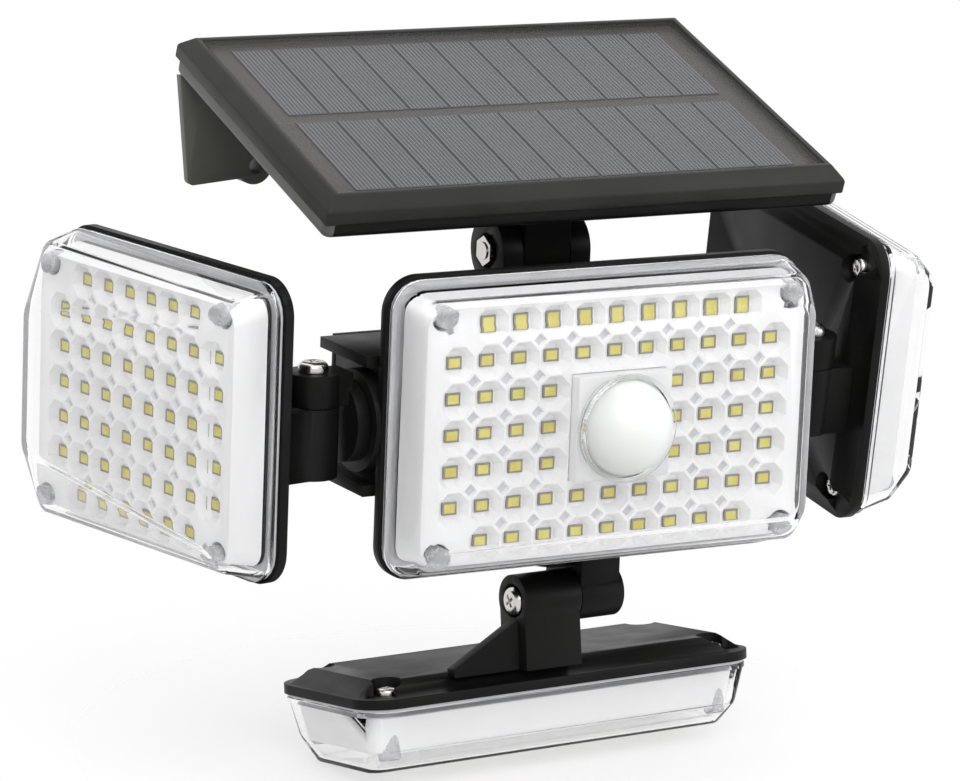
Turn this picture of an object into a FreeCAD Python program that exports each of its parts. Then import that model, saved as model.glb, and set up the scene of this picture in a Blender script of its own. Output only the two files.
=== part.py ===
import FreeCAD, Part
import Sketcher
import math
import os

# Solar wall light: a tilted solar panel on a wall bracket carries a lamp housing on a hinge.
# The housing has a front lamp with a motion sensor, and three more lamp heads on arms:
# one at the left, one at the right and a low one below. Millimetres, +Z up, the lamps face -Y.
# The origin is on the wall, midway between the two wall screws.
#
# Lamp frame: x to the right, y back to the wall, z up, zero at the front lamp's middle chip.
# Head frame: the same for each head, before its arm turns it, zero at the middle of its chips.

Vector = FreeCAD.Vector
Rotation = FreeCAD.Rotation
Placement = FreeCAD.Placement
X, Y, Z = Vector(1, 0, 0), Vector(0, 1, 0), Vector(0, 0, 1)

doc = FreeCAD.newDocument("SolarWallLight")
sheet = doc.addObject("Spreadsheet::Sheet", "Sizes")

SIZES = [
    # where things stand
    ("lamp_out", 95.0, "wall to the front lamp's chips"),
    ("lamp_drop", 43.9, "wall screws down to the front lamp's middle"),
    ("panel_front", 14.4, "front edge of the glass, behind the chips"),
    ("panel_high", 51.6, "front edge of the glass, above the chips"),
    ("panel_tilt", 18.3, "slope of the panel, degrees"),
    ("hinge_back", 34.4, "panel hinge behind the chips"),
    ("hinge_high", 32.2, "panel hinge above the chips"),
    ("arm_back", 20.0, "side arms' axis behind the chips"),
    ("drop_back", 24.5, "low arm's axis behind the chips"),
    # solar panel
    ("glass_wide", 123.0, "glass across"),
    ("glass_deep", 71.3, "glass from front to rear"),
    ("glass_thick", 1.6, "glass"),
    ("cell_thick", 0.3, "cells under the glass"),
    ("cell_rows", 2, "rows of cells"),
    ("cell_strips", 11, "strips in a row"),
    ("cell_gap", 0.5, "gap between strips"),
    ("row_gap", 3.6, "band between the rows"),
    ("cell_margin_side", 6.0, "glass edge to the cells, sides"),
    ("cell_margin_end", 3.0, "glass edge to the cells, front and rear"),
    ("frame_lip", 1.2, "flat lip round the glass"),
    ("frame_bevel", 2.8, "bevel of the frame"),
    ("frame_side", 3.2, "straight side under the bevel"),
    ("frame_ledge", 2.4, "ledge under the glass"),
    ("frame_play", 0.15, "glass in the frame"),
    ("cover_thick", 3.6, "panel's back cover, edge"),
    ("cover_floor", 1.8, "panel's back cover, floor"),
    ("cover_wall", 2.2, "panel's back cover, wall"),
    ("cover_round", 1.6, "panel's back cover, lower edge's radius"),
    ("cover_inset", 0.4, "back cover inside the frame's side"),
    ("lug_wide", 11.6, "hinge lug across"),
    ("lug_over", 6.6, "hinge lug up past the glass's front edge before it is trimmed"),
    # wall bracket
    ("plate_front", 86.0, "bracket's face behind the chips"),
    ("plate_in", 0.3, "bracket's top inside the panel's cover, each side"),
    ("plate_draw", 2.7, "bracket's lower edge inside its upper, each side"),
    ("plate_arch", 1.6, "bracket's lower edge, rise from its corners"),
    ("plate_arch_in", 20.0, "bracket's lower edge, length of the rise"),
    ("shelf_in", 6.0, "bracket's shelf inside its sides"),
    ("foot_r", 4.5, "bracket's feet on the wall, radius"),
    ("foot_up", 13.5, "bracket's upper feet above the wall screws"),
    ("plate_low", 3.8, "wall screws to the lower corners"),
    ("plate_high", 21.5, "wall screws to the top edge"),
    ("plate_sheet", 2.0, "bracket's wall"),
    ("plate_corner", 1.5, "bracket's lower corners"),
    ("shelf_deep", 15.0, "bracket's shelf under the panel"),
    ("panel_screw_long", 5.0, "panel screw shank"),
    ("panel_screw_apart", 46.7, "panel screws apart"),
    ("wall_screw_apart", 90.0, "wall screws apart"),
    ("wall_hole_r", 1.8, "wall screw hole radius"),
    # one lamp: rim, lens and what lies in it
    ("chip_pitch", 8.0, "chips apart, both ways"),
    ("chip_wide", 3.5, "chip across"),
    ("chip_tall", 2.8, "chip up"),
    ("chip_thick", 0.8, "chip"),
    ("board_thick", 1.6, "chip board"),
    ("tray_front", 2.0, "reflector's face before the chips"),
    ("tray_front_side", 1.5, "the same in the side heads, whose lens narrows"),
    ("board_margin", 4.2, "chip board past the outer chips"),
    ("tray_in_side", 5.0, "reflector inside the rim, sides"),
    ("tray_in_tall", 5.7, "reflector inside the rim, above and below"),
    ("tray_corner", 4.0, "reflector corner radius"),
    ("bowl_r", 3.3, "reflector opening at the front"),
    ("bowl_floor_r", 2.3, "reflector opening at the chip"),
    ("rim_margin", 12.3, "rim past the outer chips, sides"),
    ("rim_margin_tall", 9.6, "rim past the outer chips, above and below"),
    ("rim_r", 8.0, "rim corner radius"),
    ("rim_front", 8.4, "rim's front face behind the chips"),
    ("rim_thick", 2.2, "rim"),
    ("shoulder_deep", 3.4, "sloped shoulder behind the rim"),
    ("shoulder_in", 6.0, "shoulder's inset"),
    ("shell_wall", 1.6, "cover wall"),
    ("seal_thick", 0.8, "seal"),
    ("seal_wide", 3.4, "seal across"),
    ("lens_wall", 1.2, "lens wall"),
    ("lens_flange_in", 0.6, "lens flange inside the rim"),
    ("lens_root_in", 1.7, "lens wall at the flange, inside the rim"),
    ("lens_knee_in", 3.3, "lens knee inside the rim"),
    ("lens_knee", 1.6, "lens knee before the chips"),
    ("lens_face_side_in", 5.0, "lens face inside the rim, sides"),
    ("lens_face_tall_in", 8.8, "lens face inside the rim, above and below"),
    ("lens_face", 7.0, "lens face before the chips"),
    ("lens_taper", 7.6, "side lens: face narrows at the far end"),
    ("post_in_side", 8.8, "screw post inside the rim, sides"),
    ("post_in_tall", 7.3, "screw post inside the rim, above and below"),
    ("post_r", 2.5, "screw post radius"),
    ("post_room", 0.6, "room round a post"),
    ("screw_r", 1.2, "small screw shank radius"),
    ("screw_head_r", 2.5, "small screw head radius"),
    ("screw_head", 1.6, "small screw head height"),
    ("screw_play", 0.15, "small screw in its hole"),
    ("screw_long", 6.6, "small screw shank"),
    ("recess_r", 3.3, "screw recess radius"),
    ("boss_wall", 1.6, "wall round a screw recess"),
    # how many chips
    ("front_columns", 11, "front lamp and low head"),
    ("side_columns", 8, "side heads"),
    ("tall_rows", 7, "front lamp and side heads"),
    ("low_rows", 4, "low head"),
    # motion sensor
    ("seat_wide", 23.4, "sensor seat, square"),
    ("seat_wall", 1.6, "sensor seat wall"),
    ("dome_in", 0.9, "sensor dome inside its seat's sides"),
    ("dome_wall", 0.8, "sensor dome wall"),
    ("dome_play", 0.3, "sensor dome in the lens's hole"),
    ("dome_foot", 0.8, "sensor dome's foot ring past the dome"),
    ("dome_foot_thick", 0.6, "sensor dome's foot ring"),
    ("dome_set", 0.15, "foot ring behind the lens"),
    ("eye_ring", 1.0, "ring on the lens round the dome"),
    ("eye_ring_out", 0.7, "ring's height on the lens"),
    ("sensor_r", 4.1, "sensor can radius"),
    ("sensor_high", 4.2, "sensor can"),
    # lamp housing
    ("hub_wide", 100.0, "housing across"),
    ("hub_tall", 31.0, "housing height"),
    ("hub_rear", 35.0, "housing's rear edge behind the chips"),
    ("rear_cover_thick", 2.0, "rear cover"),
    ("brow_wide", 4.0, "brows past the housing's sides"),
    ("brow_thick", 2.4, "brow"),
    ("ring_r", 11.3, "side socket ring radius"),
    ("ring_deep", 3.4, "side socket ring"),
    ("drop_ring_r", 10.2, "low socket ring radius"),
    ("drop_ring_deep", 2.9, "low socket ring"),
    ("ear_thick", 5.0, "hinge ear"),
    ("ear_r", 7.5, "hinge ear radius"),
    ("hinge_play", 0.3, "hinge lug between the ears"),
    ("hinge_bolt_r", 2.0, "hinge bolt radius"),
    ("hinge_side", 2.3, "hinge's middle to the left of the light's"),
    ("hinge_recess_r", 4.0, "recess of the bolt head and nut"),
    ("hinge_recess", 1.4, "recess depth"),
    ("hinge_foot", 4.0, "flare at the right ear's foot"),
    ("battery_r", 9.1, "battery cell radius"),
    ("battery_end", 26.0, "battery cell from the housing's right side"),
    ("battery_start", 9.0, "battery cell from the housing's left side"),
    ("battery_back", 22.0, "battery cell behind the chips"),
    ("board_gap", 2.4, "control board from the battery cell"),
    ("control_wide", 14.0, "control board across"),
    ("board_post", 1.2, "control board off the rear cover's edge"),
    ("control_tall", 24.0, "control board height"),
    ("button_r", 4.0, "mode button radius"),
    ("button_out", 1.8, "mode button past the housing"),
    ("button_play", 0.35, "mode button in its hole"),
    ("button_travel", 1.0, "mode button travel"),
    ("button_side", 30.0, "mode button to the right of the middle"),
    # arms and their joints
    ("pivot_r", 4.5, "arm pivot radius"),
    ("pivot_play", 0.08, "arm pivot in its socket"),
    ("face_gap", 0.2, "gap between faces that turn on each other"),
    ("collar_r", 8.9, "arm collar radius"),
    ("collar_thick", 3.0, "arm collar"),
    ("washer_r", 7.0, "retaining washer radius"),
    ("washer_thick", 1.2, "retaining washer"),
    ("knuckle_reach", 13.3, "side knuckle past the housing's side"),
    ("knuckle_r", 5.9, "knuckle radius"),
    ("knuckle_top", 11.5, "knuckle's top above the arm's axis"),
    ("knuckle_seam", 4.4, "seam above the arm's axis"),
    ("knuckle_low", 11.5, "knuckle's foot below the arm's axis"),
    ("knuckle_deep", 22.4, "side knuckle behind the head's chips"),
    ("knuckle_side", 32.2, "side knuckle from the head's middle"),
    ("web_wide", 9.2, "web between knuckle and cover"),
    ("fin_wide", 3.0, "fin beside the web"),
    ("stem_thick", 8.0, "side arm's stem"),
    ("bolt_r", 1.5, "knuckle screw radius"),
    ("bolt_play", 0.15, "knuckle screw in the arm"),
    ("bolt_head_r", 3.3, "knuckle screw head radius"),
    ("bolt_head", 2.2, "knuckle screw head"),
    ("nut_flat", 5.5, "nut across flats"),
    ("nut_thick", 2.4, "nut"),
    # low arm and low head
    ("drop_high", 44.5, "low knuckle below the chips"),
    ("drop_knuckle_back", 20.0, "low knuckle behind the front chips"),
    ("drop_deep", 28.3, "low knuckle behind the low head's chips"),
    ("drop_side", 18.0, "low knuckle from the low head's middle"),
    ("drop_left", 12.0, "low knuckle's left end"),
    ("drop_seam", 2.6, "low knuckle's seam, right of the middle"),
    ("drop_right", 14.0, "low knuckle's right end"),
    ("drop_stem_r", 6.0, "low arm's stem radius"),
    ("drop_stem_room", 1.0, "low arm's stem over the low knuckle"),
    ("drop_block_high", 3.0, "low arm's block up beside the stem"),
    ("gusset_long", 17.0, "low head's gusset"),
    ("gusset_thick", 3.0, "low head's gusset"),
    # how the heads are turned, degrees
    ("left_turn", -79.7, "left head from facing forward"),
    ("right_turn", 86.7, "right head from facing forward"),
    ("right_roll", 6.1, "right arm in its socket"),
    ("low_turn", 3.3, "low arm in its socket"),
    ("low_pitch", 81.4, "low head from facing forward, 90 is straight down"),
]

for row, (alias, value, note) in enumerate(SIZES, start=1):
    sheet.set("A%d" % row, note)
    sheet.set("B%d" % row, str(value))
    sheet.setAlias("B%d" % row, alias)
doc.recompute()


def size(alias):
    """The number in the sheet cell with this alias."""
    return float(sheet.get(alias))


def cell(text):
    """An expression in which each sheet alias is written as Sizes.alias."""
    words = []
    word = ""
    for letter in text + " ":
        if letter.isalnum() or letter == "_":
            word += letter
            continue
        words.append("Sizes." + word if word[:1].isalpha() and word != "cos" else word)
        words.append(letter)
        word = ""
    return "".join(words).strip()


# ---------------------------------------------------------------- small builders

TURNS = {
    "+z": Rotation(),
    "-z": Rotation(X, 180),
    "+x": Rotation(Y, 90),
    "-x": Rotation(Y, -90),
    "+y": Rotation(X, -90),
    "-y": Rotation(X, 90),
}


def seat(part, place):
    """Bind the three numbers of a feature's place to the sheet."""
    for axis, text in zip("xyz", place):
        part.setExpression("Placement.Base." + axis, cell(str(text)))


def block(name, across, deep, tall, x, y, z):
    """A box given by its three sizes and its low corner."""
    part = doc.addObject("Part::Box", name)
    part.setExpression("Length", cell(str(across)))
    part.setExpression("Width", cell(str(deep)))
    part.setExpression("Height", cell(str(tall)))
    seat(part, (x, y, z))
    return part


def rod(name, radius, length, x, y, z, along="+z"):
    """A cylinder from a start point in one of the six directions."""
    part = doc.addObject("Part::Cylinder", name)
    part.Placement = Placement(Vector(), TURNS[along])
    part.setExpression("Radius", cell(str(radius)))
    part.setExpression("Height", cell(str(length)))
    seat(part, (x, y, z))
    return part


def cone(name, radius_1, radius_2, length, x, y, z, along="+z"):
    """A cone from a start point in one of the six directions."""
    part = doc.addObject("Part::Cone", name)
    part.Placement = Placement(Vector(), TURNS[along])
    part.setExpression("Radius1", cell(str(radius_1)))
    part.setExpression("Radius2", cell(str(radius_2)))
    part.setExpression("Height", cell(str(length)))
    seat(part, (x, y, z))
    return part


def hexagon(name, flats, length, x, y, z, along="+z"):
    """A hexagonal prism, given across its flats."""
    part = doc.addObject("Part::Prism", name)
    part.Placement = Placement(Vector(), TURNS[along])
    part.Polygon = 6
    part.setExpression("Circumradius", cell("(%s) / 1.7320508" % flats))
    part.setExpression("Height", cell(str(length)))
    seat(part, (x, y, z))
    return part


def fuse(name, parts):
    """One solid of several that overlap, or a group of solids that don't touch."""
    joined = doc.addObject("Part::MultiFuse", name)
    joined.Shapes = parts
    joined.Refine = True
    return joined


def cut(name, base, tools):
    """The base without the tools."""
    result = doc.addObject("Part::Cut", name)
    result.Base = base
    result.Tool = tools[0] if len(tools) == 1 else fuse(name + "_tools", tools)
    result.Refine = True
    return result


def shaped(name, shape):
    """A feature whose shape is worked out here from the sheet's sizes."""
    part = doc.addObject("Part::Feature", name)
    part.Shape = shape
    return part


def origin_plane(body, role):
    for feature in body.Origin.OriginFeatures:
        if feature.Role == role:
            return feature


def rectangle(sketch, tag, wide, tall, middle="0"):
    """Four lines, level and upright, with bound width and height, centred on the x axis."""
    start = sketch.GeometryCount
    corners = [(-9, -9), (9, -9), (9, 9), (-9, 9)]
    for i in range(4):
        a = Vector(corners[i][0], corners[i][1], 0)
        b = Vector(corners[(i + 1) % 4][0], corners[(i + 1) % 4][1], 0)
        sketch.addGeometry(Part.LineSegment(a, b), False)
    link = Sketcher.Constraint
    for i in range(4):
        sketch.addConstraint(link("Coincident", start + i, 2, start + (i + 1) % 4, 1))
    for i, kind in enumerate(("Horizontal", "Vertical", "Horizontal", "Vertical")):
        sketch.addConstraint(link(kind, start + i))
    bound = (
        ("wide", link("DistanceX", start, 1, start, 2, 18.0), wide),
        ("tall", link("DistanceY", start + 1, 1, start + 1, 2, 18.0), tall),
        ("left", link("DistanceX", start, 1, -1, 1, 9.0), "(%s) / 2" % wide),
        ("low", link("DistanceY", start, 1, -1, 1, 9.0), "(%s) / 2 - (%s)" % (tall, middle)),
    )
    for word, constraint, text in bound:
        index = sketch.addConstraint(constraint)
        sketch.renameConstraint(index, tag + "_" + word)
        sketch.setExpression("Constraints.%s_%s" % (tag, word), cell(text))


def padded(name, plane, outer, inner, start, thick, corner=None, middle="0", foot=None):
    """A body with one pad of a rectangle, or of a ring between two, and rounded corners. With
    foot, the edges of its lowest face are rounded by that radius."""
    body = doc.addObject("PartDesign::Body", name)
    sketch = body.newObject("Sketcher::SketchObject", name + "_outline")
    sketch.AttachmentSupport = [(origin_plane(body, plane), "")]
    sketch.MapMode = "FlatFace"
    sketch.setExpression("AttachmentOffset.Base.z", cell(start))
    rectangle(sketch, "outer", outer[0], outer[1], middle)
    if inner:
        rectangle(sketch, "inner", inner[0], inner[1], middle)
    pad = body.newObject("PartDesign::Pad", name + "_pad")
    pad.Profile = sketch
    pad.setExpression("Length", cell(thick))
    doc.recompute()
    if corner:
        axis = {"XZ_Plane": Y, "XY_Plane": Z}[plane]
        upright = []
        for i, edge in enumerate(pad.Shape.Edges, start=1):
            ends = edge.Vertexes
            run = ends[-1].Point.sub(ends[0].Point)
            if run.Length and abs(abs(run.normalize().dot(axis)) - 1) < 1e-6:
                upright.append("Edge%d" % i)
        fillet = body.newObject("PartDesign::Fillet", name + "_corners")
        fillet.Base = (pad, upright)
        fillet.setExpression("Radius", cell(corner))
        body.Tip = fillet
    if foot:
        doc.recompute()
        last = body.Tip
        lowest = last.Shape.BoundBox.ZMin
        edges = ["Edge%d" % i for i, edge in enumerate(last.Shape.Edges, start=1)
                 if abs(edge.BoundBox.ZMax - lowest) < 1e-3]
        rounding = body.newObject("PartDesign::Fillet", name + "_foot")
        rounding.Base = (last, edges)
        rounding.setExpression("Radius", cell(foot))
        body.Tip = rounding
    return body


def outline(half_wide, half_tall, corner, at_y, far_half=None, far_side=-1):
    """A closed wire square to y: a rectangle with round corners. With far_half, the side at
    far_side is that half height, so that the outline narrows there."""
    left = half_tall if far_half is None or far_side > 0 else far_half
    right = half_tall if far_half is None or far_side < 0 else far_half
    corners = [
        Vector(-half_wide, at_y, -left),
        Vector(half_wide, at_y, -right),
        Vector(half_wide, at_y, right),
        Vector(-half_wide, at_y, left),
    ]
    edges = []
    points = []
    for i in range(4):
        here, before, after = corners[i], corners[i - 1], corners[(i + 1) % 4]
        to_before = before.sub(here).normalize()
        to_after = after.sub(here).normalize()
        turn = math.acos(max(-1, min(1, to_before.dot(to_after))))
        back = corner / math.tan(turn / 2)
        first = here.add(to_before * back)
        last = here.add(to_after * back)
        inward = to_before.add(to_after).normalize()
        middle = here.add(inward * (corner / math.sin(turn / 2) - corner))
        points.append((first, middle, last))
    for i in range(4):
        first, middle, last = points[i]
        edges.append(Part.Arc(first, middle, last).toShape())
        edges.append(Part.LineSegment(last, points[(i + 1) % 4][0]).toShape())
    return Part.Wire(edges)


def loft(wires):
    return Part.makeLoft(wires, True, True)


def finish(part, label, placement):
    """Give a sub-part its name and its place."""
    part.Label = label
    part.Placement = placement
    SUB_PARTS.append(part)
    return part


SUB_PARTS = []
doc.recompute()

# the side knuckles stand off the housing's sides
KNUCKLE_OUT = size("hub_wide") / 2 + size("knuckle_reach")

# ---------------------------------------------------------------- frames

lamp_frame = Placement(Vector(0, -size("lamp_out"), -size("lamp_drop")), Rotation())
panel_frame = lamp_frame.multiply(Placement(
    Vector(0, size("panel_front"), size("panel_high")), Rotation(X, size("panel_tilt"))))


def head_frame(knuckle, turn, in_head):
    """A head's frame: its knuckle sits on the arm's, turned by the given rotation."""
    back = Placement(in_head * -1, Rotation())
    return lamp_frame.multiply(Placement(knuckle, turn)).multiply(back)


def turned_about(point, turn):
    """A turn about a point of the lamp frame."""
    return lamp_frame.multiply(Placement(point, turn)).multiply(Placement(point * -1, Rotation()))


# ---------------------------------------------------------------- solar panel

def panel_screw_spots():
    """Where the panel's screws stand in the panel's frame, as expressions."""
    rear = "glass_deep + frame_lip + frame_bevel - cover_inset"
    return [("%d * panel_screw_apart" % step, "%s - shelf_deep / 2" % rear)
            for step in (-1, 0, 1)]


def build_panel():
    """Glass, cells, frame, back cover with the hinge lug, wall bracket and screws."""
    outer_wide = "glass_wide + 2 * (frame_lip + frame_bevel)"
    outer_deep = "glass_deep + 2 * (frame_lip + frame_bevel)"
    middle = "glass_deep / 2"
    frame_low = "0 - frame_bevel - frame_side"

    glass = padded("glass_plate", "XY_Plane",
                   ("glass_wide - 2 * frame_play", "glass_deep - 2 * frame_play"), None,
                   "0 - glass_thick", "glass_thick", middle=middle)
    finish(glass, "panel_glass", panel_frame)

    strips = []
    count = int(size("cell_strips"))
    rows = int(size("cell_rows"))
    strip_wide = ("(glass_wide - 2 * cell_margin_side - (cell_strips - 1) * cell_gap)"
                  " / cell_strips")
    strip_deep = "(glass_deep - 2 * cell_margin_end - (cell_rows - 1) * row_gap) / cell_rows"
    for r in range(rows):
        for c in range(count):
            strips.append(block(
                "cell_%d_%d" % (r, c), strip_wide, strip_deep, "cell_thick",
                "0 - glass_wide / 2 + cell_margin_side + %d * (%s + cell_gap)" % (c, strip_wide),
                "cell_margin_end + %d * (%s + row_gap)" % (r, strip_deep),
                "0 - glass_thick - cell_thick"))
    finish(fuse("cell_strips_all", strips), "solar_cells", panel_frame)

    rim = padded("frame_ring", "XY_Plane", (outer_wide, outer_deep),
                 ("glass_wide", "glass_deep"), frame_low, "frame_bevel + frame_side",
                 middle=middle)
    ring_pad = rim.Tip
    box = ring_pad.Shape.BoundBox
    top_edges = []
    for i, edge in enumerate(ring_pad.Shape.Edges, start=1):
        b = edge.BoundBox
        level = abs(b.ZMax - box.ZMax) < 1e-3 and abs(b.ZMin - box.ZMax) < 1e-3
        side = b.XLength < 1e-3 and abs(abs(b.XMax) - box.XMax) < 1e-3
        end = b.YLength < 1e-3 and (abs(b.YMax - box.YMax) < 1e-3 or abs(b.YMin - box.YMin) < 1e-3)
        if level and (side or end):
            top_edges.append("Edge%d" % i)
    bevel = rim.newObject("PartDesign::Chamfer", "frame_ring_bevel")
    bevel.Base = (ring_pad, top_edges)
    bevel.setExpression("Size", cell("frame_bevel"))
    rim.Tip = bevel
    ledge_outer = block("ledge_outer", "glass_wide + 0.4", "glass_deep + 0.4",
                        "frame_side + frame_bevel - glass_thick - cell_thick",
                        "0 - glass_wide / 2 - 0.2", "0 - 0.2", frame_low)
    ledge_inner = block("ledge_inner", "glass_wide - 2 * frame_ledge",
                        "glass_deep - 2 * frame_ledge", "20",
                        "frame_ledge - glass_wide / 2", "frame_ledge", "0 - 15")
    ledge = cut("frame_ledge_ring", ledge_outer, [ledge_inner])
    finish(fuse("frame_all", [rim, ledge]), "panel_frame", panel_frame)

    # back cover with the lug of the hinge, which hangs square to the ground
    cover = padded("cover_plate", "XY_Plane",
                   ("%s - 2 * cover_inset" % outer_wide, "%s - 2 * cover_inset" % outer_deep),
                   None, "%s - cover_thick" % frame_low, "cover_thick", "cover_round + 0.6",
                   middle, "cover_round")
    pocket = block("cover_pocket", "%s - 2 * (cover_inset + cover_wall)" % outer_wide,
                   "%s - 2 * (cover_inset + cover_wall)" % outer_deep, "cover_thick",
                   "cover_inset + cover_wall - (%s) / 2" % outer_wide,
                   "cover_inset + cover_wall - frame_lip - frame_bevel",
                   "%s - cover_thick + cover_floor" % frame_low)
    screw_holes = [rod("cover_hole_%d" % i, "screw_r + screw_play", "cover_thick + 2", x, y,
                       "%s - cover_thick - 1" % frame_low)
                   for i, (x, y) in enumerate(panel_screw_spots())]
    drilled = cut("cover_drilled", cover, screw_holes + [pocket])
    drilled.Placement = panel_frame
    lug_y = "hinge_back - lamp_out"
    lug_z = "hinge_high - lamp_drop"
    lug_block = block("lug_block", "lug_wide", "2 * ear_r", "panel_high - hinge_high + lug_over",
                      "0 - hinge_side - lug_wide / 2", "%s - ear_r" % lug_y, lug_z)
    lug_round = rod("lug_round", "ear_r", "lug_wide", "0 - hinge_side - lug_wide / 2", lug_y,
                    lug_z, "+x")
    cover_middle = (size("frame_bevel") + size("frame_side") + size("cover_thick")
                    - size("cover_floor") / 2)
    above = doc.addObject("Part::Box", "lug_above")
    above.setExpression("Length", cell(outer_wide))
    above.setExpression("Width", cell("2 * (%s)" % outer_deep))
    above.setExpression("Height", cell(outer_deep))
    above.Placement = panel_frame.multiply(Placement(
        Vector(-size("glass_wide") / 2, -size("glass_deep"), -cover_middle), Rotation()))
    lug_bore = rod("lug_bore", "hinge_bolt_r + bolt_play", "lug_wide + 4",
                   "0 - hinge_side - lug_wide / 2 - 2", lug_y, lug_z, "+x")
    lug = cut("lug_trimmed", fuse("lug_body", [lug_block, lug_round]), [above])
    whole = fuse("cover_and_lug", [drilled, lug])
    finish(cut("cover_bored", whole, [lug_bore]), "panel_back_cover", Placement())


def build_bracket():
    """A flat wall plate with a shelf under the panel and four feet behind it on the wall."""
    front = size("plate_front")
    back = size("lamp_out")
    low = size("lamp_drop") - size("plate_low")
    high = size("lamp_drop") + size("plate_high")
    wide_top = (size("glass_wide") / 2 + size("frame_lip") + size("frame_bevel")
                - size("cover_inset") - size("plate_in"))
    wide_low = wide_top - size("plate_draw")
    wall = size("plate_sheet")

    arch_half = wide_low - size("plate_arch_in")
    arch = low + size("plate_arch")
    corners = [Vector(-wide_low, front, low), Vector(-arch_half, front, arch),
               Vector(arch_half, front, arch), Vector(wide_low, front, low),
               Vector(wide_top, front, high), Vector(-wide_top, front, high)]
    plate = Part.Face(Part.makePolygon(corners + [corners[0]])).extrude(Y * wall)
    lower = [e for e in plate.Edges
             if abs(e.BoundBox.YLength - wall) < 1e-3 and abs(e.BoundBox.ZMax - low) < 1e-3]
    plate = plate.makeFillet(size("plate_corner"), lower)

    # the shelf lies against the panel's back cover and runs into the plate
    under = -size("frame_bevel") - size("frame_side") - size("cover_thick")
    rear = size("glass_deep") + size("frame_lip") + size("frame_bevel") - size("cover_inset")
    shelf_half = wide_top - size("shelf_in")
    shelf = Part.makeBox(2 * shelf_half, size("shelf_deep"), wall,
                         Vector(-shelf_half, rear - size("shelf_deep"), under - wall))
    for step in (-1, 0, 1):
        spot = Vector(step * size("panel_screw_apart"), rear - size("shelf_deep") / 2,
                      under - wall - 1)
        shelf = shelf.cut(Part.makeCylinder(size("screw_r") + size("screw_play"), wall + 2, spot))
    span = 2 * (size("glass_wide") + size("glass_deep"))
    above = Part.makeBox(2 * span, 2 * span, span, Vector(-span, -span, under))
    tilt = Placement(Vector(0, size("panel_front"), size("panel_high")),
                     Rotation(X, size("panel_tilt")))
    shelf.Placement = tilt
    above.Placement = tilt
    plate = plate.fuse(shelf).cut(above)

    for side in (-1, 1):
        across = side * size("wall_screw_apart") / 2
        for up in (0, size("foot_up")):
            start = Vector(across, front + wall / 2, size("lamp_drop") + up)
            plate = plate.fuse(Part.makeCylinder(size("foot_r"), back - start.y, start, Y))
        hole_start = Vector(across, front - wall, size("lamp_drop"))
        plate = plate.cut(Part.makeCylinder(size("wall_hole_r"), back - front + 2 * wall,
                                            hole_start, Y))
    finish(shaped("bracket_shape", plate.removeSplitter()), "wall_bracket", lamp_frame)


def build_panel_screws():
    """Screws up through the bracket's shelf and the panel's cover."""
    seat_z = "0 - frame_bevel - frame_side - cover_thick - plate_sheet"
    screws = []
    for i, (x, y) in enumerate(panel_screw_spots()):
        head = rod("panel_screw_head_%d" % i, "screw_head_r", "screw_head", x, y, seat_z, "-z")
        shank = rod("panel_screw_shank_%d" % i, "screw_r", "panel_screw_long", x, y, seat_z)
        screws.append(fuse("panel_screw_%d" % i, [head, shank]))
    finish(fuse("panel_screw_set", screws), "panel_screws", panel_frame)


build_panel()
build_bracket()
build_panel_screws()

# ---------------------------------------------------------------- one lamp

class Lamp:
    """Sizes of one lamp: chips, rim and lens, with its name and its places for screws."""

    def __init__(self, name, columns, rows, placement, hand=0, window=False):
        self.name = name
        self.columns = int(size(columns))
        self.rows = int(size(rows))
        self.columns_cell = columns
        self.rows_cell = rows
        self.placement = placement
        self.hand = hand
        self.window = window
        self.chip_half = (self.columns - 1) / 2 * size("chip_pitch")
        self.chip_half_tall = (self.rows - 1) / 2 * size("chip_pitch")
        self.half = self.chip_half + size("rim_margin")
        self.half_tall = self.chip_half_tall + size("rim_margin_tall")
        self.wide = "((%s - 1) * chip_pitch + 2 * rim_margin)" % columns
        self.tall = "((%s - 1) * chip_pitch + 2 * rim_margin_tall)" % rows

    def posts(self):
        """The four screw posts, as expressions across and up."""
        for side in ("0 - 1", "1"):
            for up in ("0 - 1", "1"):
                yield ("(%s) * (%s / 2 - post_in_side)" % (side, self.wide),
                       "(%s) * (%s / 2 - post_in_tall)" % (up, self.tall))

    def chips(self):
        """The chip places: no corners, and none behind the sensor's seat."""
        middle_column, middle_row = (self.columns - 1) / 2, (self.rows - 1) / 2
        for r in range(self.rows):
            for c in range(self.columns):
                corner = c in (0, self.columns - 1) and r in (0, self.rows - 1)
                behind_seat = abs(c - middle_column) <= 1 and abs(r - middle_row) <= 1
                if not corner and not (self.window and behind_seat):
                    yield c, r

    def chip_place(self, c, r):
        return ("(%d - (%s - 1) / 2) * chip_pitch" % (c, self.columns_cell),
                "(%d - (%s - 1) / 2) * chip_pitch" % (r, self.rows_cell))


def post_cutters(lamp, tag, y, length):
    """Rods that clear the four screw posts."""
    rods = []
    for i, (x, z) in enumerate(lamp.posts()):
        rods.append(rod("%s_%s_room_%d" % (lamp.name, tag, i), "post_r + post_room",
                        length, x, y, z, "+y"))
    return rods


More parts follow.
